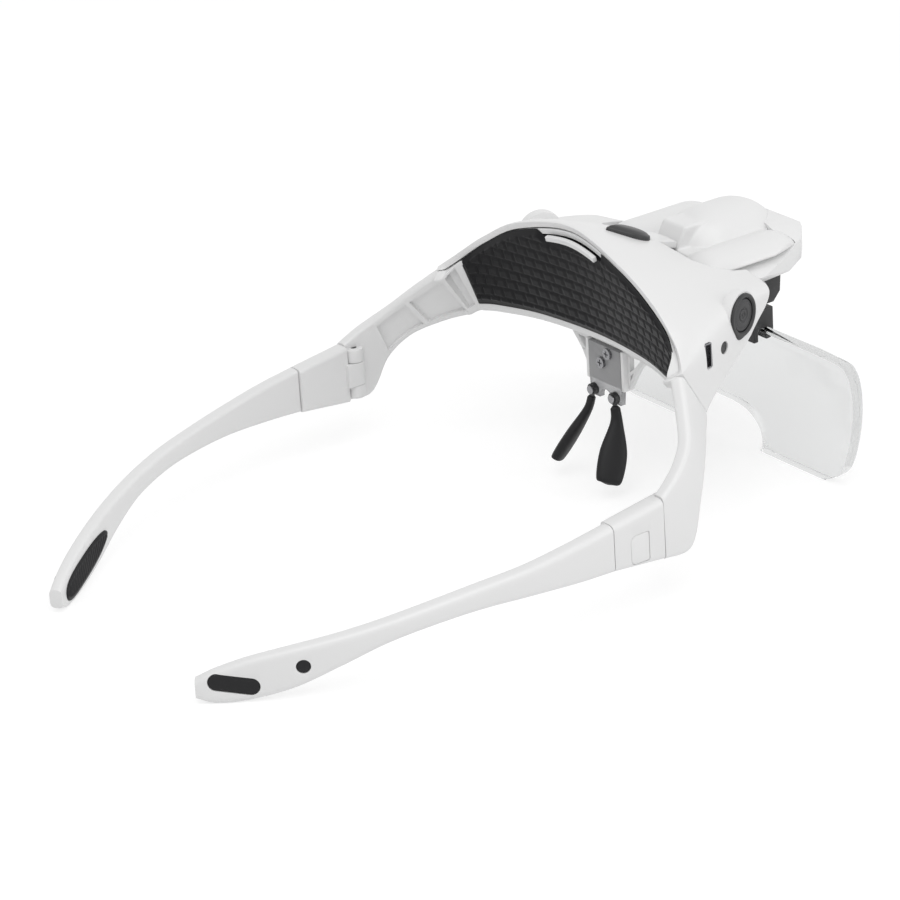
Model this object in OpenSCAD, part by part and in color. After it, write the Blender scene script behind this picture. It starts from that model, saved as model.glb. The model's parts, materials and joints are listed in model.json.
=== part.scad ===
// Lighted magnifier worn like spectacles: a white brow frame with a forehead pad, two folding temples
// with rubber ear pads, soft nose pads, a tilting lamp pod and a lens plate on a holder that flips up.
// Millimetres. X points to the wearer's left, the wearer looks along -Y, and Z is up from the table.

/* [Brow cover and band] */
// Wall of the brow cover
cover_wall = 1.8; // [1.5:0.1:2.2]
// Gap between two mouldings that meet
seam_gap = 0.3; // [0.2:0.05:0.4]
// Wall of the band behind the forehead pad
band_wall = 1.6; // [1.3:0.1:2]
// Depth of the forehead pad at its middle
pad_depth = 4; // [3.4:0.2:4.6]
// Height of the band's rim above the pad
rim_above = 1.8; // [1.4:0.2:2.4]
// Height of the band's rim below the pad
rim_below = 2.8; // [2.2:0.2:3.4]
// How far the side arms stand inside their middle line
arm_inside = 2.8; // [2.4:0.2:3.2]
// How far the side arms stand outside their middle line
arm_outside = 1.2; // [1:0.1:1.4]
// Depth of the bays on the inner face of the side arms
bay_depth = 1.2; // [0.8:0.1:1.5]

/* [Temples] */
// Distance from the middle plane to the outer face of a hinge block
block_outside = 78; // [74:0.5:84]
// Thickness of a hinge block
block_thick = 6; // [5.8:0.1:6.6]
// Diameter of the hinge pins
hinge_pin_d = 2; // [1.6:0.1:2.4]
// Radius of the hinge ears and knuckle
ear_r = 2.9; // [2.7:0.05:3]
// Height of the hinge knuckle
knuckle_h = 7.4; // [6:0.2:8]
// Clearance of a turning or sliding fit, on each side
fit_gap = 0.06; // [0.04:0.01:0.1]
// Thickness of a temple at the hinge block
temple_thick = 5; // [4.4:0.2:5.6]
// Thickness of a temple at its tip
temple_tip_thick = 3.8; // [3.4:0.2:4.4]
// Thickness of the tongue that plugs a temple into its hinge block
tongue_thick = 2.2; // [1.8:0.1:2.4]
// Height of the tongue
tongue_high = 5; // [4:0.2:5.4]
// Length of the tongue
tongue_long = 12; // [10:0.5:12.5]
// Height of the release button
release_high = 8.6; // [8:0.2:9.4]
// Width of the release button
release_wide = 6.4; // [5.6:0.2:7]
// Travel of the release button
release_travel = 0.8; // [0.6:0.05:0.9]
// Height of the ear pad
ear_pad_high = 7.6; // [6.8:0.2:8]
// How far the ear pad stands out of the temple
ear_pad_proud = 0.8; // [0.4:0.1:1.4]

/* [Buttons and lamp pod] */
// Outer diameter of a side button's bezel
bezel_d = 12.6; // [12:0.2:13]
// Diameter of a side button
button_d = 9.8; // [9:0.2:10.2]
// Depth of a side button below its bezel
button_recess = 0.6; // [0.4:0.1:1]
// Travel of the side buttons and of the top button
button_travel = 0.8; // [0.5:0.1:1]
// Length of the teardrop button on top of the brow
top_button_long = 15.5; // [14:0.5:16]
// Width of the teardrop button
top_button_wide = 12; // [10:0.5:12.5]
// Diameter of the pod's tilt pin
pod_pin_d = 2; // [1.6:0.1:2.4]
// Wall of the lamp pod
pod_wall = 1.3; // [1.1:0.1:1.6]
// Diameter of the lamp's light emitting diodes
led_d = 4; // [3:0.5:5]
// Diameter of the indicator hole
indicator_d = 3.8; // [3:0.1:4.2]
// Height of the charging slot
slot_high = 7.6; // [7:0.1:8]
// Width of the charging slot
slot_wide = 2.8; // [2.6:0.1:3.2]

/* [Lens and nose] */
// Thickness of the lens plate
lens_thick = 4; // [3.4:0.2:4.6]
// Diameter of the pin on which the lens holder flips
lens_pin_d = 3; // [2.4:0.2:3.4]
// Half width of the lens bracket
bracket_half = 18; // [17:0.5:19]
// Depth by which the lens plate plugs into its holder
lens_grip = 4; // [3:0.5:5]
// Thickness of the nose plate
nose_thick = 1.8; // [1.4:0.1:2.2]
// Diameter of the nose pad pins
nose_pin_d = 1.6; // [1.2:0.1:1.8]
// Diameter of the screws
screw_d = 2; // [1.6:0.1:2.2]

/* [Hidden] */
$fn = 48;

white = [0.93, 0.93, 0.92];
black = [0.1, 0.1, 0.1];
charcoal = [0.2, 0.2, 0.2];
smoke = [0.72, 0.72, 0.72];
clear = [0.9, 0.93, 0.95];
steel = [0.75, 0.75, 0.77];

// The curves below are drawn for this half width over the hinge blocks, and they widen with it
drawn_outside = 78;
function widened(points) =
    [for (p = points) [p[0] * block_outside / drawn_outside, each [for (i = [1:len(p) - 1]) p[i]]]];

// The half of the band from the middle of the brow to the hinge: its upper and its lower edge
UPPER = widened([[0, -41, 82.1], [24, -39.5, 77.2], [40, -39.3, 68.9], [50, -37, 61.5], [56.5, -33.3, 55.5],
    [63.8, -28.8, 49], [69.8, -24.5, 43.1], [73.3, -19.3, 39], [75.3, -14.5, 36], [76.6, -9, 32.5]]);
LOWER = widened([[0, -50.9, 43.3], [24, -48.4, 43.5], [40, -44.2, 42.9], [47.5, -42.6, 41.8], [54.5, -43.2, 40.3],
    [61.5, -37.6, 37.5], [68.8, -30.8, 32.8], [74, -24.8, 25.5], [76.6, -19, 14.6], [76.9, -9, 14.3]]);
// The station where the brow cover meets the side arm, and the one where the pad ends
SEAM = 4;
PAD_END = 3;
HINGE = 9;

// Control points of the brow cover, from its rear edge forwards, at each station round the brow
COVER_REAR = widened([[0, -46.5, 84.5], [23.5, -45, 79.5], [39, -46, 70.8], [49, -45.5, 65.5],
    [53, -45, 59.5], [53.5, -46, 54], [52.8, -49, 44.5]]);
COVER_MID = widened([[0, -62, 69.7], [21, -66, 69.3], [35, -68, 67.3], [46, -67.5, 67],
    [47.3, -66.8, 62.5], [47.8, -64, 57], [50, -58, 48.5]]);
COVER_FRONT = widened([[0, -84, 69.5], [20, -83.5, 66], [31, -82, 65], [41.6, -79.5, 64.5],
    [42.8, -77.4, 60.3], [44.5, -72.5, 57], [46, -68.5, 54]]);
COVER_END = 6;

// A point on a smooth curve between b and c, with a before them and d after them
function cubic(a, b, c, d, u) =
    0.5 * (2 * b + (c - a) * u + (2 * a - 5 * b + 4 * c - d) * u * u + (3 * b - a - 3 * c + d) * u * u * u);
function flip(p) = [-p[0], p[1], p[2]];
function unit(p) = p / norm(p);
function mix(a, b, k) = a + (b - a) * k;
function ease(k) = let (u = min(max(k, 0), 1)) u * u * (3 - 2 * u);

// A point on a curve that is mirrored about the middle plane, at station s on either side of it
function arch(p, s) =
    let (last = len(p) - 1)
    let (t = min(abs(s), last))
    let (i = min(floor(t), last - 1))
    let (a = i == 0 ? flip(p[1]) : p[i - 1])
    let (d = i == last - 1 ? 2 * p[last] - p[last - 1] : p[i + 2])
    let (q = cubic(a, p[i], p[i + 1], d, t - i))
    s < 0 ? flip(q) : q;

// A point on a smooth curve through the listed points, t running from 0 to 1
function along(p, t) =
    let (last = len(p) - 1)
    let (s = min(max(t, 0), 1) * last)
    let (i = min(floor(s), last - 1))
    let (a = i == 0 ? 2 * p[0] - p[1] : p[i - 1])
    let (d = i == last - 1 ? 2 * p[last] - p[last - 1] : p[i + 2])
    cubic(a, p[i], p[i + 1], d, s - i);

// The direction out of the band, away from the head, at station s
function band_out(s) =
    let (run = arch(UPPER, s + 0.05) + arch(LOWER, s + 0.05) - arch(UPPER, s - 0.05) - arch(LOWER, s - 0.05))
    let (fall = arch(LOWER, s) - arch(UPPER, s))
    unit(cross(fall, run));
// How far behind the cover's rim the band steps out to the cover's outer face, in stations
seam_step = 0.045;
// How far the outer face of the band stands from its middle line, and how far its inner face
function band_outer(s) =
    let (t = abs(s))
    let (behind_pad = pad_depth + band_wall)
    let (under_cover = arm_outside - cover_wall - seam_gap)
    t > SEAM + seam_step ? arm_outside : mix(behind_pad, under_cover, ease((t - 2.8) / 1.1));
function band_inner(s) = -arm_inside * ease((abs(s) - PAD_END) / 0.8);
function band_point(s, k, off) = mix(arch(UPPER, s), arch(LOWER, s), k) + off * band_out(s);

// A point on the outer face of the brow cover, t running from its rear edge to its front edge
function cover_edge(s) =
    let (t = min(abs(s), SEAM))
    let (k = max(abs(s) - SEAM, 0) / (COVER_END - SEAM))
    let (q = band_point(t, k, arm_outside * ease((t - 2) / 2)))
    s < 0 ? flip(q) : q;
function cover_point(s, t) =
    let (u = 1 - t)
    u * u * u * cover_edge(s) + 3 * u * u * t * arch(COVER_REAR, s) + 3 * u * t * t * arch(COVER_MID, s)
        + t * t * t * arch(COVER_FRONT, s);
function cover_out(s, t) =
    let (a = cover_point(s + 0.04, t) - cover_point(s - 0.04, t))
    let (b = cover_point(s, min(t + 0.02, 1)) - cover_point(s, max(t - 0.02, 0)))
    unit(cross(b, a));
// Near the side arm the cover's rim faces as the arm does, so that the two meet squarely
function cover_across(s, t) =
    let (square = ease((abs(s) - SEAM + 0.2) / 0.2) * (1 - ease(t / 0.15)))
    unit(mix(cover_out(s, t), band_out(s < 0 ? max(s, -SEAM) : min(s, SEAM)), square));
function cover_in(s, t, depth) = cover_point(s, t) - depth * cover_across(s, t);

function quad(a, b, c, d) = [[a, b, c], [a, c, d]];

// A closed solid through rings of points, each ring with the same number of points
module loft(rings) {
    n = len(rings[0]);
    m = len(rings);
    walls = [for (i = [0:m - 2]) for (j = [0:n - 1])
        each quad(i * n + j, i * n + (j + 1) % n, (i + 1) * n + (j + 1) % n, (i + 1) * n + j)];
    start = [for (j = [1:n - 2]) [0, j + 1, j]];
    end = [for (j = [1:n - 2]) [(m - 1) * n, (m - 1) * n + j, (m - 1) * n + j + 1]];
    polyhedron([for (r = rings) each r], concat(walls, start, end));
}

// A solid along the band, through rings that run from the wearer's right to the left
module band_loft(rings) {
    loft([for (i = [len(rings) - 1:-1:0]) rings[i]]);
}

// A closed shell between an outer and an inner grid of points
module shell(outer, inner) {
    rows = len(outer);
    cols = len(outer[0]);
    far = rows * cols;
    faces = [for (i = [0:rows - 2]) for (j = [0:cols - 2])
        each quad(i * cols + j, i * cols + j + 1, (i + 1) * cols + j + 1, (i + 1) * cols + j)];
    backs = [for (f = faces) [far + f[0], far + f[2], far + f[1]]];
    rims = [for (i = [0, rows - 1]) for (j = [0:cols - 2])
        each i == 0 ? quad(j + 1, j, far + j, far + j + 1)
            : quad(i * cols + j, i * cols + j + 1, far + i * cols + j + 1, far + i * cols + j)];
    sides = [for (j = [0, cols - 1]) for (i = [0:rows - 2])
        each j == 0 ? quad(i * cols, (i + 1) * cols, far + (i + 1) * cols, far + i * cols)
            : quad((i + 1) * cols + j, i * cols + j, far + i * cols + j, far + (i + 1) * cols + j)];
    polyhedron([for (r = concat(outer, inner)) each r], concat(faces, backs, rims, sides));
}

// Turns the Z axis into direction d and moves the origin to p
module aim(p, d) {
    translate(p)
        rotate([0, acos(d[2] / norm(d)), atan2(d[1], d[0])])
            children();
}

module both_sides() {
    children();
    mirror([1, 0, 0]) children();
}

// One side of the part: 1 draws the wearer's left and -1 the wearer's right
module on_side(side) {
    if (side > 0) children();
    else mirror([1, 0, 0]) children();
}

// Frame: the band behind the pad with its two side arms
function band_length(s) = norm(arch(LOWER, s) - arch(UPPER, s));
// Share of the band's height at a distance d below its upper edge
function share(s, d) = d / band_length(s);
function pad_top(s) = share(s, cover_wall + seam_gap + rim_above);
function pad_low(s) = 1 - share(s, rim_below);
function pad_floor(s) = min(pad_depth, band_outer(s) - band_wall);
// The pocket's upper wall slopes down towards its floor
function pad_slope(s) = share(s, 1.8);
function band_ring(s) =
    let (gap_under = cover_wall + seam_gap)
    let (near_seam = ease((abs(s) - 3) / 0.6))
    let (reach = mix(0.3 * (band_outer(s) - band_inner(s)) / (pad_depth + band_wall), 0.02, near_seam))
    let (back = (band_inner(s) - arm_outside * ease((abs(s) - 2) / 2)) * band_out(s))
    let (under = abs(s) < SEAM + seam_step)
    let (rim = cover_in(s, 0, gap_under))
    let (sunk = max((rim - band_point(s, 0, 0)) * band_out(s), 0) * band_out(s))
    [under ? rim - sunk + back : band_point(s, 0, band_inner(s)),
        under ? cover_in(s, reach / 2, gap_under) : band_point(s, 0, mix(band_inner(s), band_outer(s), 0.5)),
        under ? cover_in(s, reach, gap_under) : band_point(s, 0, band_outer(s)),
        band_point(s, 1, band_outer(s)), band_point(s, 1, band_inner(s))];
// Stations from the right hinge to the left one, close together where the brow cover ends
SIDE_STATIONS = concat([for (s = [0.25:0.25:SEAM - 0.25]) s], [SEAM + seam_step - 0.02, SEAM + seam_step + 0.02],
    [for (s = [SEAM + 0.25:0.25:HINGE]) s]);
BAND_STATIONS = concat([for (i = [len(SIDE_STATIONS) - 1:-1:0]) -SIDE_STATIONS[i]], [0], SIDE_STATIONS);
PAD_STATIONS = [for (s = [-PAD_END:0.25:PAD_END]) s];

// A bar on the band between two stations, between two shares of its height and two offsets
module band_bar(from, to, top, low, inner, outer, step = 0.25) {
    count = ceil((to - from) / step);
    band_loft([for (i = [0:count]) let (s = mix(from, to, i / count))
        [band_point(s, top, inner), band_point(s, top, outer), band_point(s, low, outer),
            band_point(s, low, inner)]]);
}

module pad_pocket() {
    band_loft([for (s = PAD_STATIONS) [band_point(s, pad_top(s) - pad_slope(s), -5),
        band_point(s, pad_top(s) + pad_slope(s), pad_floor(s)),
        band_point(s, pad_low(s), pad_floor(s)), band_point(s, pad_low(s), -5)]]);
}

// Bays moulded into the inner face of a side arm, as pairs of stations
BAYS = [[3.2, 3.62], [3.82, 5.3], [5.45, 6.9]];
module arm_bay(from, to) {
    count = 6;
    band_loft([for (i = [0:count]) let (s = mix(from, to, i / count))
        [band_point(s, 0.16, band_inner(s) - 4), band_point(s, 0.16, band_inner(s) + bay_depth),
            band_point(s, 0.86, band_inner(s) + bay_depth), band_point(s, 0.86, band_inner(s) - 4)]]);
}

// Hinge of a temple: its pin is upright, near the inner face
hinge_x = block_outside - 4.6;
hinge_y = -12.4;
knuckle_mid = 23.4;
ear_high = 4.2;
arm_end_y = hinge_y + ear_r;
block_front_y = arm_end_y + seam_gap;
block_rear_y = 8;
knuckle_low = knuckle_mid - knuckle_h / 2;
knuckle_top = knuckle_mid + knuckle_h / 2;
axial_gap = 0.12;

module hinge_ears() {
    for (z = [knuckle_low - ear_high, knuckle_top])
        translate([0, 0, z]) {
            translate([hinge_x, hinge_y, 0]) cylinder(r = ear_r, h = ear_high);
            translate([hinge_x, hinge_y - ear_r, 0]) cube([2, 2 * ear_r, ear_high]);
        }
}
module hinge_room() {
    room = ear_r + seam_gap;
    translate([hinge_x, hinge_y, knuckle_low]) cylinder(r = room, h = knuckle_h);
    translate([hinge_x - room, hinge_y, knuckle_low]) cube([2 * room, 6, knuckle_h]);
    translate([hinge_x - 10, hinge_y - room, knuckle_low]) cube([10, room + 6, knuckle_h]);
    translate([hinge_x, hinge_y, knuckle_low - ear_high - 3])
        cylinder(d = hinge_pin_d, h = knuckle_h + 2 * ear_high + 3);
    translate([hinge_x - 12, arm_end_y, 0]) cube([30, 12, 60]);
}

// Shelf behind the brow that carries the circuit board, the lens bracket and the pod's hinge
shelf_low = 56;
shelf_thick = 2.3;
shelf_top = shelf_low + shelf_thick;
shelf_front_y = -72.2;
shelf_half = 31;
pod_pin_y = -69;
pod_pin_z = 66.5;
pod_barrel_r = 2.8;
neck_half = 5.2;
pod_ear_thick = 3.2;
cover_screw = [26.5, -68.5];
bracket_screw = [12, -64];
screw_hole = screw_d + 0.1;

module shelf() {
    back = [for (s = [-1.25:0.25:1.25]) band_point(s, 0.62, band_outer(s) - 0.7)];
    translate([0, 0, shelf_low])
        linear_extrude(shelf_thick)
            polygon(concat([for (p = back) [p[0], p[1]]], [[shelf_half, shelf_front_y],
                [-shelf_half, shelf_front_y]]));
    for (x = [-neck_half - pod_ear_thick - 0.2, neck_half + 0.2])
        translate([x, pod_pin_y, 0]) {
            translate([0, 0, pod_pin_z]) rotate([0, 90, 0]) cylinder(r = pod_barrel_r, h = pod_ear_thick);
            translate([0, -pod_barrel_r, shelf_top - 0.5])
                cube([pod_ear_thick, 2 * pod_barrel_r, pod_pin_z - shelf_top + 0.5]);
        }
}
module shelf_holes() {
    for (side = [-1, 1]) {
        translate([side * cover_screw[0], cover_screw[1], 0]) cylinder(d = screw_hole, h = shelf_top + 1);
        translate([side * bracket_screw[0], bracket_screw[1], 0]) cylinder(d = screw_hole, h = shelf_top + 1);
    }
    translate([-15, pod_pin_y, pod_pin_z]) rotate([0, 90, 0]) cylinder(d = pod_pin_d, h = 30);
}

// Web below the brow that carries the nose plate, with a gusset on each side
nose_y = -53;
web_thick = 2;
nose_half = 7.4;
module nose_web() {
    translate([0, nose_y, 0]) rotate([90, 0, 0]) linear_extrude(web_thick) difference() {
        polygon([[-21, 45.6], [-13.1, 37.4], [-8.6, 30], [8.6, 30], [13.1, 37.4], [21, 45.6]]);
        for (side = [-1, 1]) {
            polygon([[side * 9.4, 41.2], [side * 14.6, 41.2], [side * 12, 38.4], [side * 9.4, 36.2]]);
            polygon([[side * 9.4, 34.8], [side * 11.2, 36.4], [side * 9.4, 33]]);
        }
    }
    for (x = [-nose_half - 1.3, nose_half + 0.1])
        translate([x, nose_y - web_thick, 30]) cube([1.2, web_thick + nose_thick, 12.5]);
}

module frame() {
    color(white) difference() {
        union() {
            band_loft([for (s = BAND_STATIONS) band_ring(s)]);
            shelf();
            nose_web();
            both_sides() hinge_ears();
        }
        pad_pocket();
        both_sides() for (bay = BAYS) arm_bay(bay[0], bay[1]);
        both_sides() hinge_room();
        shelf_holes();
        for (p = NOSE_SCREWS)
            translate([p[0], nose_y - web_thick - 1, p[1]])
                rotate([-90, 0, 0]) cylinder(d = screw_hole, h = web_thick + 1);
    }
}

// Brow cover
COVER_STATIONS = [for (s = [-COVER_END:0.25:COVER_END]) s];
COVER_ROWS = [for (t = [0:0.1:1.001]) t];
knob_at = [3.86, 0.685];
knob_turn = 18;
knob_out = [cos(knob_turn), -sin(knob_turn), 0];
knob = cover_point(knob_at[0], knob_at[1]);
top_spot = 0.6;
top_place = cover_point(0, top_spot);
top_normal = cover_out(0, top_spot);
indicator = cover_point(4.85, 0.49);
indicator_way = cover_out(4.85, 0.49);
port = cover_point(4.5, 0.31);
port_turn = 0;
port_out = [cos(port_turn), -sin(port_turn), 0];
boss_top = cover_point(1.33, 0.7)[2] - cover_wall / 2;
boss_r = 2.5;
collar_wall = 1.2;
collar_deep = 3.6;
boss_low = shelf_top + seam_gap;

// Room for the pod behind the front of the brow
tongue_end_y = -75;
module pod_notch() {
    translate([0, 0, 50]) linear_extrude(40)
        polygon([[-5.8, tongue_end_y], [5.8, tongue_end_y], [5.8, -68.5], [20.5, -68.5], [25.4, -72.2], [27.9, -77.5],
            [27.9, -90], [-27.9, -90], [-27.9, -77.5], [-25.4, -72.2], [-20.5, -68.5], [-5.8, -68.5]]);
}

// A flat drop, its round end at +X and its point at -X, its middle at the origin
module drop(long, wide, thick) {
    r = wide / 2;
    front = long / 2 - r;
    reach = front + long / 2;
    turn = acos(r / reach);
    linear_extrude(thick) {
        translate([front, 0]) circle(r = r);
        polygon([[front, 0], [front - r * cos(turn), r * sin(turn)], [-long / 2, 0],
            [front - r * cos(turn), -r * sin(turn)]]);
    }
}

module brow_cover() {
    color(white) difference() {
        union() {
            shell([for (t = COVER_ROWS) [for (s = COVER_STATIONS) cover_point(s, t)]],
                [for (t = COVER_ROWS) [for (s = COVER_STATIONS) cover_in(s, t, cover_wall)]]);
            both_sides() translate([cover_screw[0], cover_screw[1], boss_low])
                cylinder(r = boss_r, h = boss_top - boss_low);
            both_sides() aim(knob, knob_out) translate([0, 0, -collar_deep])
                cylinder(d = bezel_d + 2 * collar_wall, h = collar_deep + 0.4);
        }
        pod_notch();
        aim(top_place, top_normal) translate([0, 0, -8])
            drop(top_button_long + 0.5, top_button_wide + 0.4, 16);
        both_sides() aim(knob, knob_out) translate([0, 0, bezel_proud - bezel_deep - seam_gap])
            cylinder(d = bezel_d + 0.1, h = 2 * bezel_deep);
        mirror([1, 0, 0]) {
            aim(indicator, indicator_way) translate([0, 0, -6]) cylinder(d = indicator_d, h = 12);
            aim(port, port_out) translate([-slot_high / 2, -slot_wide / 2, -6])
                cube([slot_high, slot_wide, 12]);
        }
        both_sides() translate([cover_screw[0], cover_screw[1], boss_low - 1])
            cylinder(d = screw_hole, h = 5.5);
    }
}

module forehead_pad() {
    slack = 0.15;
    color(charcoal) band_loft([for (s = PAD_STATIONS)
        let (q = s * (1 - slack / 50))
        let (top = pad_top(q) + share(q, slack))
        let (low = pad_low(q) - share(q, slack))
        let (floor = pad_floor(q) - slack)
        [band_point(q, top + share(q, 0.4), -0.5), band_point(q, top + pad_slope(q), floor),
            band_point(q, low, floor), band_point(q, low, 0.1), band_point(q, mix(top, low, 0.8), -0.7),
            band_point(q, mix(top, low, 0.2), -1.3)]]);
}

module pad_clip() {
    below_rim = cover_wall + seam_gap + 1.8;
    color(white) band_bar(-0.5, 0.42, share(0, below_rim), share(0, below_rim + 1.7), -2.2, -0.9, 0.115);
}

// Nose plate, its screws and the two pads
NOSE_SCREWS = [[-2, 40.4], [1.2, 36.8]];
nose_pivot = [4.9, 27.4];
module nose_plate() {
    color(smoke) translate([0, nose_y + nose_thick, 0]) rotate([90, 0, 0]) linear_extrude(nose_thick) difference() {
        polygon([[-nose_half, 42.2], [-nose_half, 30], [-6.9, 25.2], [6.9, 25.2], [nose_half, 30],
            [nose_half, 42.2]]);
        translate([0, 25.5]) circle(r = 2.9);
        for (p = NOSE_SCREWS) translate(p) circle(d = screw_hole);
        for (side = [-1, 1]) translate([side * nose_pivot[0], nose_pivot[1]]) circle(d = nose_pin_d);
    }
}
screw_head_d = 3.4;
screw_head_h = 0.9;
// A screw that points along -Z, with the underside of its head at the origin
module screw(long) {
    translate([0, 0, -long]) cylinder(d = screw_d, h = long);
    difference() {
        cylinder(d = screw_head_d, h = screw_head_h);
        for (a = [0, 90]) rotate([0, 0, a]) translate([-1, -0.2, 0.5]) cube([2, 0.4, 1]);
    }
}
nose_eye_r = 1.8;
nose_eye_thick = 1.5;
nose_eye_y = nose_y + nose_thick + 0.1;
module nose_screws() {
    color(steel) {
        for (p = NOSE_SCREWS)
            translate([p[0], nose_y + nose_thick, p[1]]) rotate([-90, 0, 0])
                screw(nose_thick + web_thick - 0.3);
        for (side = [-1, 1])
            translate([side * nose_pivot[0], nose_y, nose_pivot[1]]) rotate([-90, 0, 0]) {
                cylinder(d = nose_pin_d, h = nose_thick + nose_eye_thick + 0.3);
                translate([0, 0, nose_thick + nose_eye_thick + 0.2]) cylinder(r = 1.3, h = 0.5);
            }
    }
}
// The path of a nose pad from its pin down to its lower end
NOSE_PATH = [[5.4, -50.2, 25.2], [6.6, -49.6, 20.5], [8.6, -47, 13], [10.3, -44.2, 6.4], [10.6, -43.4, 5]];
NOSE_WIDE = [2.6, 3.2, 7.6, 7.2, 4];
NOSE_DEEP = [2.4, 2.6, 3.6, 3.4, 2];
stem_d = 1.4;
stem_end = [7.3, -48.8, 17.6];
nose_eye = [nose_pivot[0], nose_eye_y, nose_pivot[1]];
stem_start = nose_eye + [0.3, nose_eye_thick / 2, -1.4];
module stem(extra) {
    way = stem_end - stem_start;
    aim(stem_start, way) cylinder(d = stem_d + extra, h = norm(way));
}
module nose_arm(side) {
    color(black) on_side(side) difference() {
        union() {
            translate(nose_eye) rotate([-90, 0, 0]) cylinder(r = nose_eye_r, h = nose_eye_thick);
            stem(0);
        }
        translate([nose_eye[0], nose_eye[1] - 1, nose_eye[2]]) rotate([-90, 0, 0])
            cylinder(d = nose_pin_d + 2 * fit_gap, h = nose_eye_thick + 2);
    }
}
module nose_pad(side) {
    flat = unit([0.8, 0.5, 0.1]);
    count = 14;
    color(black) on_side(side) difference() {
        loft([for (i = [0:count])
            let (t = i / count)
            let (way = unit(along(NOSE_PATH, t + 0.02) - along(NOSE_PATH, t - 0.02)))
            let (wide = unit(cross(flat, way)))
            let (deep = cross(way, wide))
            [for (a = [0:30:330]) along(NOSE_PATH, t) + along(NOSE_WIDE, t) / 2 * cos(a) * wide
                + along(NOSE_DEEP, t) / 2 * sin(a) * deep]]);
        stem(0.02);
        translate(nose_eye) rotate([-90, 0, 0]) translate([0, 0, -0.3])
            cylinder(r = nose_eye_r + 0.2, h = nose_eye_thick + 0.6);
    }
}

// Buttons, circuit board and switches
board_low = shelf_top;
board_thick = 1.6;
board_top = board_low + board_thick;
switch_size = 4.5;
top_button_thick = 2;
top_button_proud = 1.2;

top_switch_high = 3.2;
switch_spot = knob - 10.6 * knob_out;
button_thick = 2.2;
bezel_deep = 4.4;
bezel_proud = 0.6;
// The top button's stem stands square to the brow, and its switch stands where the stem ends
switch_face = board_top + top_switch_high + 0.1 + button_travel;
top_switch_y = top_place[1] - (top_place[2] - switch_face) * top_normal[1] / top_normal[2];

module top_button() {
    // The stem runs down to the switch on the circuit board
    drop_back = top_place - (top_button_thick - top_button_proud) * top_normal;
    long = (drop_back[2] - switch_face) / top_normal[2];
    color(black) {
        aim(top_place, top_normal) translate([0, 0, top_button_proud - top_button_thick])
            drop(top_button_long, top_button_wide, top_button_thick);
        aim(drop_back - long * top_normal, top_normal) cylinder(d = 3, h = long + 0.01);
    }
}
module circuit_board() {
    color("darkgreen") translate([0, 0, board_low]) linear_extrude(board_thick) difference() {
        polygon([[-30, -57], [-8, -57], [-8, -53.2], [8, -53.2], [8, -57], [30, -57], [38, -58.5], [38, -66], [30, -66], [29, -64.8], [-29, -64.8],
            [-30, -66], [-38, -66], [-38, -58.5]]);
        for (side = [-1, 1]) translate([side * bracket_screw[0], bracket_screw[1]]) circle(d = screw_d + 0.4);
    }
}
module push_switches() {
    color(steel) {
        translate([-switch_size / 2, top_switch_y - switch_size / 2, board_top])
            cube([switch_size, switch_size, top_switch_high - button_travel]);
        both_sides() {
            translate([switch_spot[0], switch_spot[1], board_top]) rotate([0, 0, -knob_turn])
                translate([-switch_size / 2, -switch_size / 2, 0])
                    cube([switch_size, switch_size, switch_size]);
        }
    }
}
module side_bezel(side) {
    color(black) on_side(side) difference() {
        union() {
            aim(knob, knob_out) translate([0, 0, bezel_proud - bezel_deep])
                cylinder(d = bezel_d, h = bezel_deep);
        }
        aim(knob, knob_out) translate([0, 0, -10]) cylinder(d = button_d + 2 * fit_gap, h = 20);
    }
}
module side_button(side) {
    face = bezel_proud - button_recess;
    stem_long = 10.6 - switch_size / 2 + face - button_thick - button_travel - 0.1;
    color(charcoal) on_side(side) {
        aim(knob, knob_out) translate([0, 0, face - button_thick]) cylinder(d = button_d, h = button_thick);
        aim(knob, knob_out) translate([0, 0, face - button_thick - stem_long])
            cylinder(d = 2.4, h = stem_long + 0.01);
    }
}
port_deep = 3;
port_wall = 0.3;
port_board_thick = 0.8;
module charge_port() {
    high = slot_high - 0.3;
    wide = slot_wide - 0.3;
    color(steel) mirror([1, 0, 0]) aim(port, port_out) translate([0, 0, -port_deep - 0.4]) difference() {
        translate([-high / 2, -wide / 2, 0]) cube([high, wide, port_deep]);
        translate([-high / 2 + port_wall, -wide / 2 + port_wall, port_wall])
            cube([high - 2 * port_wall, wide - 2 * port_wall, port_deep]);
        }
}
module port_board() {
    color("darkgreen") mirror([1, 0, 0]) aim(port, port_out)
        translate([2 - slot_high / 2, 0.15 - slot_wide / 2 - port_board_thick, -port_deep - 0.8])
            cube([slot_high - 2, port_board_thick, port_deep - cover_wall - 0.3]);
}
module indicator_light() {
    color(black) mirror([1, 0, 0]) aim(indicator, indicator_way) translate([0, 0, -cover_wall - 1])
        cylinder(d = indicator_d - 2 * fit_gap, h = cover_wall + 0.6);
}

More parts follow.
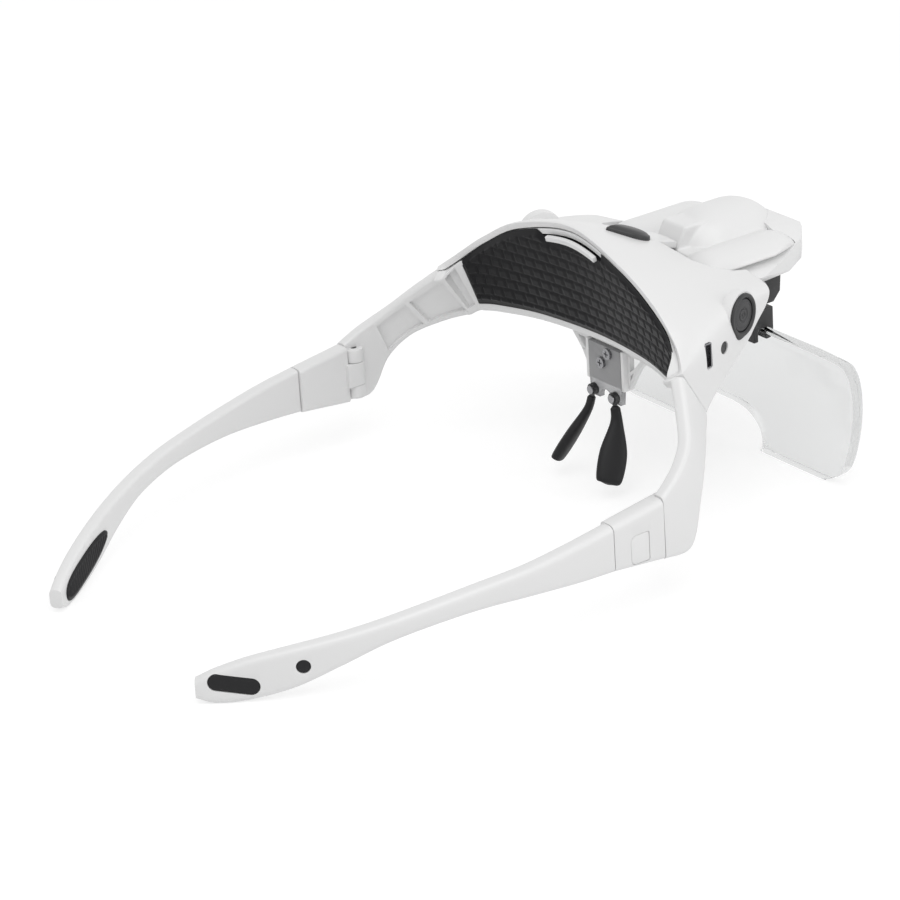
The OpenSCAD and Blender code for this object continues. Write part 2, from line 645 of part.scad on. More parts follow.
// Lens bracket, holder and plate
lens_pin_y = -97;
lens_pin_z = 53;
bracket_ear = 3.4;
bracket_low = 50.5;
bracket_rear_y = -58;
holder_half = bracket_half - bracket_ear - 0.2;
lens_y = -97.7;
lens_top = 39.2;
tab_half = 15.6;
module along_x(from, to) {
    translate([from, 0, 0]) rotate([90, 0, 90]) linear_extrude(to - from) children();
}
module lens_bracket() {
    color(black) difference() {
        union() {
            along_x(-bracket_half, bracket_half)
                polygon([[bracket_rear_y, shelf_low], [bracket_rear_y, bracket_low], [-92.5, bracket_low],
                    [-92.5, 55.2], [shelf_front_y, 55.2], [shelf_front_y, shelf_low]]);
            for (x = [-bracket_half, bracket_half - bracket_ear])
                along_x(x, x + bracket_ear)
                    polygon([[-104, 55.2], [-103.6, 50], [-101, 47.2], [-94, 47.2], [-92, 49.5],
                        [-92, 55.2]]);
        }
        translate([-30, lens_pin_y, lens_pin_z]) rotate([0, 90, 0]) cylinder(d = lens_pin_d, h = 60);
        for (side = [-1, 1])
            translate([side * bracket_screw[0], bracket_screw[1], bracket_low - 1])
                cylinder(d = screw_hole, h = 10);
    }
}
module bracket_screws() {
    color(steel) for (side = [-1, 1])
        translate([side * bracket_screw[0], bracket_screw[1], bracket_low]) rotate([180, 0, 0])
            screw(shelf_top - bracket_low + 0.8);
}
module cover_screws() {
    color(steel) for (side = [-1, 1])
        translate([side * cover_screw[0], cover_screw[1], shelf_low]) rotate([180, 0, 0])
            screw(shelf_thick + seam_gap + 3.8);
}
module lens_pin() {
    color(steel) translate([-bracket_half, lens_pin_y, lens_pin_z]) rotate([0, 90, 0])
        cylinder(d = lens_pin_d, h = 2 * bracket_half);
}
holder_r = 2.6;
clip_low = 35.4;
clip_half = 17.2;
clip_wall = 1.8;
module lens_holder() {
    front = lens_y - lens_thick / 2 - fit_gap;
    rear = lens_y + lens_thick / 2 + fit_gap;
    color(black) difference() {
        union() {
            translate([-holder_half, lens_pin_y, lens_pin_z]) rotate([0, 90, 0])
                cylinder(r = holder_r, h = 2 * holder_half);
            along_x(-holder_half, holder_half)
                polygon([[lens_pin_y - holder_r, lens_pin_z], [lens_pin_y + 2.4, lens_pin_z], [lens_pin_y + 1.6, 44],
                    [lens_pin_y - 3, 44]]);
            along_x(-clip_half, clip_half)
                polygon([[front - clip_wall, 45.4], [rear + clip_wall, 45.4], [rear + clip_wall, clip_low],
                    [front - clip_wall, clip_low]]);
        }
        translate([-30, lens_pin_y, lens_pin_z]) rotate([0, 90, 0])
            cylinder(d = lens_pin_d + 2 * fit_gap, h = 60);
        translate([-tab_half - fit_gap, front, clip_low - 1])
            cube([2 * (tab_half + fit_gap), rear - front, lens_top + lens_grip - clip_low + 1 + fit_gap]);
        translate([-clip_half - 1, front, clip_low - 1])
            cube([2 * clip_half + 2, rear - front, lens_top - clip_low + 1 + fit_gap]);
    }
}
// Half of the lens plate's outline below its tab, from the top round the end to the nose notch
LENS_HALF = [[tab_half, 39.2], [40, 39.2], [52, 38.6], [55.4, 37], [57.2, 33.5], [58, 27], [57.4, 19.5],
    [55.4, 11.5], [53.4, 6.6], [50.6, 3], [46.5, 0.8], [42, 0], [18.2, 0], [17.2, 1.2], [17.4, 4], [16.4, 7.2],
    [13.6, 10.2], [9.4, 12.2], [4, 13]];
module lens_plate() {
    left = [for (p = LENS_HALF) p];
    right = [for (i = [len(LENS_HALF) - 1:-1:0]) [-LENS_HALF[i][0], LENS_HALF[i][1]]];
    tab = [[-tab_half, lens_top + lens_grip], [tab_half, lens_top + lens_grip]];
    color(clear) translate([0, lens_y + lens_thick / 2, 0]) rotate([90, 0, 0])
        linear_extrude(lens_thick) polygon(concat(left, right, tab));
}

// Lamp pod
POD_PLAN = [[20.6, -69.6], [24.6, -73.2], [27.3, -80], [27.2, -90], [24, -101], [20.5, -110], [17, -113.5],
    [10, -117], [0, -119]];
pod_rear_y = -74.4;
pod_split_z = 65;
pod_floor = 56;
pod_step_y = -104;
pod_roof_z = 71;
POD_SIDE = [[pod_rear_y, pod_floor], [-95, pod_floor], [-111, 59.4], [-117, 61.3], [-119.2, 64],
    [-115.8, 67], [-111.8, 69.5], [-105.5, 70.9], [pod_step_y, pod_roof_z], [pod_step_y, pod_split_z],
    [pod_rear_y, pod_split_z]];
function to_centre(p, c, w) = p + w * unit(c - p);
module pod_plan(w) {
    middle = [0, -95];
    half = [for (p = POD_PLAN) w == 0 ? p : to_centre(p, middle, 1.25 * w)];
    other = [for (i = [len(half) - 2:-1:0]) [-half[i][0], half[i][1]]];
    translate([0, 0, 40]) linear_extrude(50) polygon(concat(half, other));
}
module pod_section(w) {
    roof = 40;
    translate([0, -60, 0]) rotate([90, 0, 0]) linear_extrude(80) intersection() {
        polygon([[-21 + w, pod_floor + w], [21 - w, pod_floor + w], [27.1 - w, 60.6 + w], [26.8 - w, 62.5],
            [25.6 - w, pod_split_z], [25.6 - w, 80], [-25.6 + w, 80], [-25.6 + w, pod_split_z],
            [-26.8 + w, 62.5], [-27.1 + w, 60.6 + w]]);
        translate([0, pod_roof_z - roof]) circle(r = roof - w, $fn = 160);
    }
}
module pod_body(w) {
    intersection() {
        pod_plan(w);
        pod_section(w);
        along_x(-30, 30) polygon([for (p = POD_SIDE) w == 0 ? p : to_centre(p, [-100, 64.5], w)]);
    }
}
window_half = 13;
window_rear_y = -105.8;
window_front_y = -115.2;
led_board_z = 63;
led_board_thick = 1.2;
led_board_half = 16;
led_board_deep = 5.2;
led_board_rear_y = -106.5;
LED_X = [-8, 0, 8];
led_y = -109.1;
module pod_base() {
    color(white) difference() {
        union() {
            difference() {
                pod_body(0);
                pod_body(pod_wall);
                intersection() {
                    pod_plan(pod_wall);
                    pod_section(pod_wall);
                    translate([-40, pod_step_y + 1.6, pod_split_z - 2])
                        cube([80, pod_rear_y - pod_wall - pod_step_y - 1.6, 10]);
                }
                intersection() {
                    lobes(-seam_gap);
                    translate([-40, -130, pod_split_z - 0.2]) cube([80, 60, 20]);
                }
            }
            for (x = [-15.6, 14])
                translate([x, -113, pod_floor + 2]) cube([1.6, 5, led_board_z - pod_floor - 2]);
        }
        translate([-window_half, window_front_y, pod_floor - 2])
            cube([2 * window_half, window_rear_y - window_front_y, led_board_z - pod_floor + 1]);
    }
}
// Each lobe's radius, its middle across and up, and where its rear and front ends are centred
CENTRE_LOBE = [15, 0, 59.5, -92, -100.5];
SIDE_LOBE = [10.6, 17.3, 58.3, -78.5, -99.5];
neck_rear_y = tongue_end_y - 0.6;
neck_top = 72.8;
module lobe(size, side, w) {
    for (y = [size[3], size[4]]) translate([side * size[1], y, size[2]]) sphere(r = size[0] - w);
    translate([side * size[1], size[3], size[2]]) rotate([90, 0, 0])
        cylinder(r = size[0] - w, h = size[3] - size[4]);
}
module lobes(w) {
    lobe(CENTRE_LOBE, 0, w);
    for (side = [-1, 1]) lobe(SIDE_LOBE, side, w);
}
module pod_cover() {
    low = pod_split_z + 0.1;
    neck_side = neck_half - 0.2;
    color(white) difference() {
        union() {
            intersection() {
                lobes(0);
                pod_plan(0);
                translate([-40, -125, low]) cube([80, 60, 30]);
            }
            // Deck between the lobes
            intersection() {
                pod_plan(0);
                pod_section(0);
                translate([-40, pod_step_y + seam_gap, low])
                    cube([80, neck_rear_y - pod_step_y - seam_gap, pod_wall]);
            }
            // The neck that joins the pod to the brow leans back from the brow's tongue
            along_x(-neck_side, neck_side)
                polygon([[neck_rear_y, low], [neck_rear_y - 10.4, low], [neck_rear_y - 10.4, neck_top],
                    [neck_rear_y - 3.6, neck_top], [neck_rear_y - 0.3, low + 1.9]]);
        }
        intersection() {
            lobes(pod_wall);
            translate([-40, -125, pod_split_z - 5]) cube([80, 125 + pod_rear_y - pod_wall, 40]);
        }
    }
}
module pod_hinge() {
    color(black) difference() {
        union() {
            translate([-19.5, pod_rear_y + 0.1, pod_floor + 2.5]) cube([39, 1.3, pod_split_z - pod_floor - 2.5]);
            translate([-neck_half, pod_pin_y, pod_pin_z]) rotate([0, 90, 0])
                cylinder(r = pod_barrel_r, h = 2 * neck_half);
            translate([-neck_half, pod_rear_y + 0.1, pod_pin_z - pod_barrel_r])
                cube([2 * neck_half, pod_pin_y - pod_rear_y, pod_split_z - pod_pin_z + pod_barrel_r]);
        }
        translate([-15, pod_pin_y, pod_pin_z]) rotate([0, 90, 0])
            cylinder(d = pod_pin_d + 2 * fit_gap, h = 30);
    }
}
module pod_pin() {
    half = neck_half + 0.2 + pod_ear_thick;
    color(steel) translate([-half, pod_pin_y, pod_pin_z]) rotate([0, 90, 0])
        cylinder(d = pod_pin_d, h = 2 * half);
}
battery = [34, 18, 6];
battery_front_y = -95.5;
module battery_cell() {
    color("silver") translate([-battery[0] / 2, battery_front_y, pod_floor + pod_wall]) cube(battery);
}
module led_board() {
    color("darkgreen") translate([-led_board_half, led_board_rear_y - led_board_deep, led_board_z])
        cube([2 * led_board_half, led_board_deep, led_board_thick]);
}
module leds() {
    color("white") for (x = LED_X) translate([x, led_y, led_board_z - 1]) {
        cylinder(d = led_d, h = 1);
    }
}
module lamp_window() {
    slack = 0.1;
    color(clear) along_x(-window_half + slack, window_half - slack)
        polygon([[window_rear_y - slack, 58.35], [-111, 59.45], [window_front_y + slack, 60.8],
            [window_front_y + slack, 61.6], [-111, 60.6], [window_rear_y - slack, 59.6]]);
}
module pod_wires() {
    from = [0, battery_front_y, pod_floor + pod_wall + battery[2] / 2];
    to = [0, led_board_rear_y, led_board_z + led_board_thick / 2];
    color("red") for (x = [-1.5, 1.5]) aim(from + [x, 0, 0], to - from)
        translate([0, 0, seam_gap]) cylinder(d = 1, h = norm(to - from) - 2 * seam_gap);
}

// Temples
BLOCK_REAR = [30, 16.2];
BLOCK_FRONT = [32.4, 14.4];
release_y = -0.7;
release_z = 20.7;
release_thick = 1.1;
release_deep = release_thick + release_travel + 0.2;
tongue_x = block_outside - 2.3 - tongue_thick / 2;
// A ring of eight points: a box with cut corners between two corners of the section
function ring(outer, inward, thick, top, low, cut) =
    let (x = [0, cut, thick - cut, thick])
    let (z = [low, low + cut, top - cut, top])
    [for (p = [[0, 1], [0, 2], [1, 3], [2, 3], [3, 2], [3, 1], [2, 0], [1, 0]])
        [outer[0] + inward[0] * x[p[0]], outer[1] + inward[1] * x[p[0]], z[p[1]]]];

module hinge_block(side) {
    color(white) on_side(side) difference() {
        union() {
            loft([for (k = [0, 1])
                ring([block_outside, mix(block_front_y, block_rear_y, k)], [-1, 0], block_thick,
                    mix(BLOCK_FRONT[0], BLOCK_REAR[0], k), mix(BLOCK_FRONT[1], BLOCK_REAR[1], k), 1)]);
            translate([hinge_x, hinge_y, knuckle_low + axial_gap])
                cylinder(r = ear_r, h = knuckle_h - 2 * axial_gap);
            translate([hinge_x - ear_r, hinge_y, knuckle_low + axial_gap])
                cube([2 * ear_r, block_front_y - hinge_y + 1, knuckle_h - 2 * axial_gap]);
        }
        translate([hinge_x, hinge_y, 0]) cylinder(d = hinge_pin_d + 2 * fit_gap, h = 60);
        translate([tongue_x - tongue_thick / 2 - fit_gap, block_rear_y - tongue_long - 0.5,
            release_z - tongue_high / 2 - fit_gap])
            cube([tongue_thick + 2 * fit_gap, tongue_long + 2, tongue_high + 2 * fit_gap]);
        translate([block_outside - release_deep, release_y - release_wide / 2 - 0.1,
            release_z - release_high / 2 - 0.1])
            cube([5, release_wide + 0.2, release_high + 0.2]);
        translate([tongue_x, release_y - release_wide / 2 - 0.1, release_z - tongue_high / 2 - fit_gap])
            cube([5, release_wide + 0.2, tongue_high + 2 * fit_gap]);
    }
}
module hinge_pin(side) {
    color(steel) on_side(side) translate([hinge_x, hinge_y, knuckle_low - ear_high])
        cylinder(d = hinge_pin_d, h = knuckle_h + 2 * ear_high);
}
module release_button(side) {
    color(white) on_side(side)
        translate([block_outside - release_thick, release_y - release_wide / 2, release_z - release_high / 2])
            cube([release_thick, release_wide, release_high]);
}
spring_d = 1.2;
module release_springs(side) {
    reach = tongue_high / 2 + (release_high - tongue_high) / 4;
    color(steel) on_side(side) for (z = [release_z - reach, release_z + reach])
        translate([block_outside - release_deep, release_y, z]) rotate([0, 90, 0]) difference() {
            cylinder(d = spring_d, h = release_deep - release_thick);
            translate([0, 0, -1]) cylinder(d = spring_d - 0.6, h = 4);
        }
}

// The temple from its hinge block to its tip: outer face, distance back, upper and lower edge
TEMPLE = widened([[78, 8.3, 29.9, 16.2], [77.8, 20, 28.2, 16.7], [76.3, 35, 25.8, 17.3], [73.4, 49, 24, 17.2],
    [70.2, 62, 22.1, 16], [65.6, 75, 19.6, 13.2], [60, 86.5, 17.2, 8.4], [53.2, 97.5, 14.9, 3.2],
    [46.2, 107.5, 12.4, 0.5], [40.8, 114.8, 9.6, 0], [37.5, 119, 7.2, 1.6]]);
function temple_at(t) = along(TEMPLE, t);
function temple_way(t) =
    let (a = temple_at(t + 0.01) - temple_at(t - 0.01))
    unit([a[0], a[1]]);
// The direction from the outer face of the temple to its inner face
function temple_in(t) = [-temple_way(t)[1], temple_way(t)[0]];
function temple_depth(t) = mix(temple_thick, temple_tip_thick, ease((t - 0.4) / 0.6));
// A point on the temple at share k of its height, at depth d below its outer face
function temple_point(t, k, d) =
    let (q = temple_at(t))
    let (n = temple_in(t))
    [q[0] + n[0] * d, q[1] + n[1] * d, mix(q[3], q[2], k)];
EAR_PAD = [0.655, 0.935];
function pad_height(t) =
    let (u = (t - EAR_PAD[0]) / (EAR_PAD[1] - EAR_PAD[0]))
    0.5 * ear_pad_high * sqrt(max(1 - pow(abs(2 * u - 1), 2.6), 0.06));
module ear_pad_shape(slack, proud) {
    count = 16;
    loft([for (i = [0:count])
        let (t = mix(EAR_PAD[0], EAR_PAD[1], i / count))
        let (q = temple_at(t))
        let (h = pad_height(t) + slack)
        let (n = temple_in(t))
        let (mid = (q[2] + q[3]) / 2 - 0.4)
        let (inner = temple_depth(t) + proud)
        let (floor = temple_depth(t) - 0.9 - slack)
        [for (p = [[floor, -h], [floor, h], [inner, h], [inner, -h]])
            [q[0] + n[0] * p[0], q[1] + n[1] * p[0], mid + p[1]]]]);
}
oval_plug = 0.84;
round_plug = 0.68;
// The plugs of the ear pad that show on the outer face
module ear_plugs(slack, from, to) {
    for (spot = [oval_plug, round_plug]) {
        q = temple_at(spot);
        n = temple_in(spot);
        way = (temple_at(spot + 0.01) - temple_at(spot - 0.01));
        lean = atan2((way[2] + way[3]) / 2, norm([way[0], way[1]]));
        aim([q[0] + n[0] * from, q[1] + n[1] * from, (q[2] + q[3]) / 2], [n[0], n[1], 0])
            rotate([0, 0, lean])
                if (spot == round_plug) cylinder(d = 3.8 + 2 * slack, h = to - from);
                else {
                    for (y = [-4.6, 4.6]) translate([0, y, 0]) cylinder(d = 4.8 + 2 * slack, h = to - from);
                    translate([-2.4 - slack, -4.6, 0]) cube([4.8 + 2 * slack, 9.2, to - from]);
                }
    }
}
module temple_arm(side) {
    count = 28;
    color(white) on_side(side) difference() {
        union() {
            loft([for (i = [0:count])
                let (t = i / count)
                let (q = temple_at(t))
                ring(q, temple_in(t), temple_depth(t), q[2], q[3], min(1.3, (q[2] - q[3]) / 4))]);
            translate([tongue_x - tongue_thick / 2, block_rear_y - tongue_long, release_z - tongue_high / 2])
                cube([tongue_thick, tongue_long + 2, tongue_high]);
        }
        ear_pad_shape(0.1, 3);
        ear_plugs(0.1, -2, temple_tip_thick);
    }
}
module ear_pad(side) {
    color(black) on_side(side) {
        ear_pad_shape(0, ear_pad_proud);
        ear_plugs(0, 0.1, temple_tip_thick - 1);
    }
}

frame();
brow_cover();
forehead_pad();
pad_clip();
nose_plate();
nose_screws();
nose_arm(1);  // nose_arm_left
nose_arm(-1);  // nose_arm_right
nose_pad(1);  // nose_pad_left
nose_pad(-1);  // nose_pad_right
top_button();
circuit_board();
push_switches();
side_bezel(1);  // side_bezel_left
side_bezel(-1);  // side_bezel_right
side_button(1);  // side_button_left
side_button(-1);  // side_button_right
charge_port();
port_board();
indicator_light();
cover_screws();
lens_bracket();
bracket_screws();
lens_pin();
lens_holder();
lens_plate();
pod_hinge();
pod_pin();
pod_base();
pod_cover();
battery_cell();
led_board();
leds();
lamp_window();
pod_wires();
hinge_block(1);  // hinge_block_left
hinge_block(-1);  // hinge_block_right
hinge_pin(1);  // hinge_pin_left
hinge_pin(-1);  // hinge_pin_right
release_button(1);  // release_button_left
release_button(-1);  // release_button_right
release_springs(1);  // release_springs_left
release_springs(-1);  // release_springs_right
temple_arm(1);  // temple_arm_left
temple_arm(-1);  // temple_arm_right
ear_pad(1);  // ear_pad_left
ear_pad(-1);  // ear_pad_right
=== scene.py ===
# The looks of the lighted head magnifier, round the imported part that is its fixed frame.
# The shapes are worked out in millimetres and reach Blender in metres. X points to the wearer's left,
# the wearer looks along -Y, and Z is up from the table.
import functools
import json
import math

import bmesh
import bpy
import numpy as np
from mathutils import Matrix, Vector

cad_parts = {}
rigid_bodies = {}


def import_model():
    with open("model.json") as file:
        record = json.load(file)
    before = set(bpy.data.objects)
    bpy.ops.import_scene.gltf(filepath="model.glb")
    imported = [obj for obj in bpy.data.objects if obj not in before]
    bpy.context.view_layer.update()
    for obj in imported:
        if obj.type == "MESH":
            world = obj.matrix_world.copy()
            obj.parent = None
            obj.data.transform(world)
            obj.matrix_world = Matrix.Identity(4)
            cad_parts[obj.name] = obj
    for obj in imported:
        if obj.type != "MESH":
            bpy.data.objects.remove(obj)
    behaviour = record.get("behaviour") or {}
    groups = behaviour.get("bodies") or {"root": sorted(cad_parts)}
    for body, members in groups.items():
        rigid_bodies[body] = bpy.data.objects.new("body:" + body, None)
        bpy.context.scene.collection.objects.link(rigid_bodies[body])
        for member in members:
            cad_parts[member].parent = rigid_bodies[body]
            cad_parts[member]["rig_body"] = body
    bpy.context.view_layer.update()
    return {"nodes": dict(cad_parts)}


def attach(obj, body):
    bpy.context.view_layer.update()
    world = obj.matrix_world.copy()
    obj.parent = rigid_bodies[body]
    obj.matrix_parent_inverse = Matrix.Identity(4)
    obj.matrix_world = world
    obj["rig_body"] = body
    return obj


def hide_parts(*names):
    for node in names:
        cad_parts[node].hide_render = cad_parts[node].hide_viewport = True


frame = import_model()
nodes = frame["nodes"]
scene = bpy.context.scene
scene.view_settings.view_transform = "Standard"
MM = 0.001
SIDES = ((1, "left"), (-1, "right"))

# Camera, at the photograph's viewing angle
EYE = Vector((-0.81226, 0.57259, 0.46745))
FORWARD = Vector((0.7492, -0.5229, -0.4065))
RIGHT = Vector((-0.5926, -0.8033, -0.0590))
UP = Vector((0.2957, -0.2851, 0.9117))
lens = bpy.data.cameras.new("camera")
lens.sensor_fit = "HORIZONTAL"
lens.sensor_width = 36
lens.lens = 152
camera = bpy.data.objects.new("camera", lens)
camera.matrix_world = Matrix((
    (RIGHT.x, UP.x, -FORWARD.x, EYE.x),
    (RIGHT.y, UP.y, -FORWARD.y, EYE.y),
    (RIGHT.z, UP.z, -FORWARD.z, EYE.z),
    (0, 0, 0, 1),
))
scene.collection.objects.link(camera)
scene.camera = camera


# Materials
def principled(name):
    made = bpy.data.materials.new(name)
    made.use_nodes = True
    tree = made.node_tree
    return made, tree, tree.nodes["Principled BSDF"]


def noise(tree, place, scale, detail):
    pattern = tree.nodes.new("ShaderNodeTexNoise")
    pattern.inputs["Scale"].default_value = scale
    pattern.inputs["Detail"].default_value = detail
    tree.links.new(place.outputs["Object"], pattern.inputs["Vector"])
    return pattern.outputs["Fac"]


def wander(tree, shader, pattern, roughness, spread):
    """Lets the roughness wander with a pattern, by a share of itself either way."""
    rough = tree.nodes.new("ShaderNodeMapRange")
    rough.inputs["To Min"].default_value = roughness * (1 - spread)
    rough.inputs["To Max"].default_value = roughness * (1 + spread)
    tree.links.new(pattern, rough.inputs["Value"])
    tree.links.new(rough.outputs["Result"], shader.inputs["Roughness"])


def moulded(name, colour, roughness, grain=0.02, grain_size=0.6, mottle=0.02, coat=0.0, gloss=0.5):
    """A moulded surface: a fine grain, small changes of tone and a roughness that wanders a little.
    The grain's depth and size are in millimetres."""
    made, tree, shader = principled(name)
    shader.inputs["Coat Weight"].default_value = coat
    shader.inputs["Coat Roughness"].default_value = 0.25
    shader.inputs["Specular IOR Level"].default_value = gloss
    place = tree.nodes.new("ShaderNodeTexCoord")
    fine = noise(tree, place, 1 / (grain_size * MM), 3)
    broad = noise(tree, place, 60, 4)
    tone = tree.nodes.new("ShaderNodeMix")
    tone.data_type = "RGBA"
    tone.inputs["A"].default_value = (*[c * (1 - mottle) for c in colour], 1)
    tone.inputs["B"].default_value = (*[min(c * (1 + mottle), 1) for c in colour], 1)
    tree.links.new(broad, tone.inputs["Factor"])
    tree.links.new(tone.outputs["Result"], shader.inputs["Base Color"])
    wander(tree, shader, broad, roughness, 0.12)
    bump = tree.nodes.new("ShaderNodeBump")
    bump.inputs["Strength"].default_value = 0.35
    bump.inputs["Distance"].default_value = grain * MM
    tree.links.new(fine, bump.inputs["Height"])
    tree.links.new(bump.outputs["Normal"], shader.inputs["Normal"])
    return made


def metal(name, colour, roughness):
    """Turned steel, uneven in its roughness."""
    made, tree, shader = principled(name)
    shader.inputs["Metallic"].default_value = 1
    shader.inputs["Base Color"].default_value = (*colour, 1)
    place = tree.nodes.new("ShaderNodeTexCoord")
    wander(tree, shader, noise(tree, place, 2500, 2), roughness, 0.3)
    return made


def clear(name, colour, roughness, transmission, bending=1.49):
    """A clear or smoky moulding, with faint handling marks in its roughness."""
    made, tree, shader = principled(name)
    shader.inputs["Base Color"].default_value = (*colour, 1)
    shader.inputs["Transmission Weight"].default_value = transmission
    shader.inputs["IOR"].default_value = bending
    place = tree.nodes.new("ShaderNodeTexCoord")
    wander(tree, shader, noise(tree, place, 90, 5), roughness, 0.4)
    return made


WHITE = moulded("white_plastic", (0.745, 0.745, 0.745), 0.36, grain=0.008, mottle=0.008, coat=0.12)
BLACK = moulded("black_plastic", (0.022, 0.022, 0.023), 0.42, grain=0.02, mottle=0.05)
DISC = moulded("button_plastic", (0.035, 0.035, 0.037), 0.48, grain=0.02, mottle=0.06)
RUBBER = moulded("soft_rubber", (0.010, 0.010, 0.011), 0.5, grain=0.03, grain_size=0.4, mottle=0.1,
                 gloss=0.28)
PAD = moulded("pad_rubber", (0.008, 0.008, 0.009), 0.44, grain=0.02, grain_size=0.35, mottle=0.12,
              gloss=0.16)
BOARD = moulded("circuit_board", (0.02, 0.16, 0.06), 0.4, mottle=0.1)
LAMP = moulded("lamp_resin", (0.85, 0.82, 0.6), 0.2)
FOIL = metal("cell_foil", (0.72, 0.72, 0.74), 0.4)
STEEL = metal("steel", (0.30, 0.30, 0.31), 0.28)
WIRE = moulded("wire_cover", (0.5, 0.03, 0.02), 0.4)
LENS = clear("clear_acrylic", (0.775, 0.78, 0.78), 0.02, 1.0, 1.16)
SMOKE = clear("smoky_plastic", (0.62, 0.62, 0.63), 0.25, 0.55)


# Meshes
def make(name, points, faces, material):
    """A mesh object from points in millimetres."""
    mesh = bpy.data.meshes.new(name)
    mesh.from_pydata([tuple(p) for p in np.asarray(points, float) * MM], [], [tuple(f) for f in faces])
    tidy = bmesh.new()
    tidy.from_mesh(mesh)
    bmesh.ops.remove_doubles(tidy, verts=tidy.verts, dist=0.0005 * MM)
    bmesh.ops.recalc_face_normals(tidy, faces=tidy.faces)
    tidy.to_mesh(mesh)
    tidy.free()
    piece = bpy.data.objects.new(name, mesh)
    piece.data.materials.append(material)
    scene.collection.objects.link(piece)
    return piece


def settle(piece):
    """Writes the modifiers of a piece into its mesh."""
    bpy.context.view_layer.update()
    graph = bpy.context.evaluated_depsgraph_get()
    fresh = bpy.data.meshes.new_from_object(piece.evaluated_get(graph))
    piece.modifiers.clear()
    piece.data = fresh


def carve(piece, tools, operation="DIFFERENCE"):
    """Cuts the tools out of a piece, or joins them to it, and removes them."""
    for tool in tools:
        step = piece.modifiers.new("cut", "BOOLEAN")
        step.object = tool
        step.operation = operation
        step.solver = "MANIFOLD"
    settle(piece)
    for tool in tools:
        bpy.data.objects.remove(tool, do_unlink=True)


def smooth(piece, angle=38):
    piece.data.shade_smooth()
    piece.data.set_sharp_from_angle(angle=math.radians(angle))


def soften(piece, width, angle=34):
    """Rounds the edges of a piece that are sharper than the angle."""
    step = piece.modifiers.new("edges", "BEVEL")
    step.width = width * MM
    step.segments = 3
    step.limit_method = "ANGLE"
    step.angle_limit = math.radians(angle)
    settle(piece)
    smooth(piece)


def finish(piece, body, *stands_for):
    """Rides the piece on its body, in place of the CAD nodes that it stands for."""
    if stands_for:
        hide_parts(*stands_for)
    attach(piece, body)
    return piece


def on_side(side, points):
    """Points drawn for the wearer's left, or their mirror image for the right."""
    return points if side > 0 else np.asarray(points, float) * np.array([-1, 1, 1])


def loft(rings, closed=True):
    """Points and faces of a tube through rings of points, with flat ends."""
    rings = [np.asarray(r, float) for r in rings]
    count = len(rings[0])
    faces = []
    for i in range(len(rings) - 1):
        for j in range(count):
            k = (j + 1) % count
            faces.append((i * count + j, i * count + k, (i + 1) * count + k, (i + 1) * count + j))
    if closed:
        faces.append(tuple(range(count)))
        last = (len(rings) - 1) * count
        faces.append(tuple(last + j for j in reversed(range(count))))
    return np.concatenate(rings), faces


def block(low, high):
    """A plain box between two corners."""
    x0, y0, z0 = low
    x1, y1, z1 = high
    return loft([[(x0, y0, z), (x1, y0, z), (x1, y1, z), (x0, y1, z)] for z in (z0, z1)])


def prism(outline, low, high):
    """An outline of (x, y) pairs between two heights."""
    return loft([[(x, y, z) for x, y in outline] for z in (low, high)])


def upright(outline, front, rear):
    """An outline of (x, z) pairs between two places along Y."""
    return loft([[(x, y, z) for x, z in outline] for y in (front, rear)])


def circle(radius, count):
    return [(radius * math.cos(a), radius * math.sin(a)) for a in np.linspace(0, 2 * math.pi, count, False)]


def disc(radius, low, high, count=64):
    return prism(circle(radius, count), low, high)


def turned(profile, count=72):
    """A turned piece from (radius, height) pairs that start and end on the axis."""
    return loft([[(x, y, height) for x, y in circle(radius, count)] for radius, height in profile])


def aim(place, way):
    """A matrix that turns the Z axis into way and moves the origin to place."""
    way = np.asarray(way, float) / np.linalg.norm(way)
    tilt = Matrix.Rotation(math.acos(way[2]), 4, "Y")
    turn = Matrix.Rotation(math.atan2(way[1], way[0]), 4, "Z")
    return Matrix.Translation(Vector(place)) @ turn @ tilt


def moved(points, matrix):
    return np.array([matrix @ Vector(p) for p in np.asarray(points, float)])


def tool(points, faces):
    return make("tool", points, faces, WHITE)


# The smooth curves that the solids are drawn on. Each row is a station's X, Y and Z, and the stations run
# from 0 at the middle of the brow towards the wearer's left. The band's last station is 9, at the hinge.
UPPER = np.array([
    [0, -41, 82.1], [24, -39.5, 77.2], [40, -39.3, 68.9], [50, -37, 61.5], [56.5, -33.3, 55.5],
    [63.8, -28.8, 49], [69.8, -24.5, 43.1], [73.3, -19.3, 39], [75.3, -14.5, 36], [76.6, -9, 32.5],
])
LOWER = np.array([
    [0, -50.9, 43.3], [24, -48.4, 43.5], [40, -44.2, 42.9], [47.5, -42.6, 41.8], [54.5, -43.2, 40.3],
    [61.5, -37.6, 37.5], [68.8, -30.8, 32.8], [74, -24.8, 25.5], [76.6, -19, 14.6], [76.9, -9, 14.3],
])
COVER_REAR = np.array([
    [0, -46.5, 84.5], [23.5, -45, 79.5], [39, -46, 70.8], [49, -45.5, 65.5], [53, -45, 59.5],
    [53.5, -46, 54], [52.8, -49, 44.5],
])
COVER_MID = np.array([
    [0, -62, 69.7], [21, -66, 69.3], [35, -68, 67.3], [46, -67.5, 67], [47.3, -66.8, 62.5],
    [47.8, -64, 57], [50, -58, 48.5],
])
COVER_FRONT = np.array([
    [0, -84, 69.5], [20, -83.5, 66], [31, -82, 65], [41.6, -79.5, 64.5], [42.8, -77.4, 60.3],
    [44.5, -72.5, 57], [46, -68.5, 54],
])
# Stations where the pad ends, where the cover's side edge crosses the band, and the last of cover and band
PAD_END = 3
SEAM = 4
COVER_END = 6
HINGE = 9
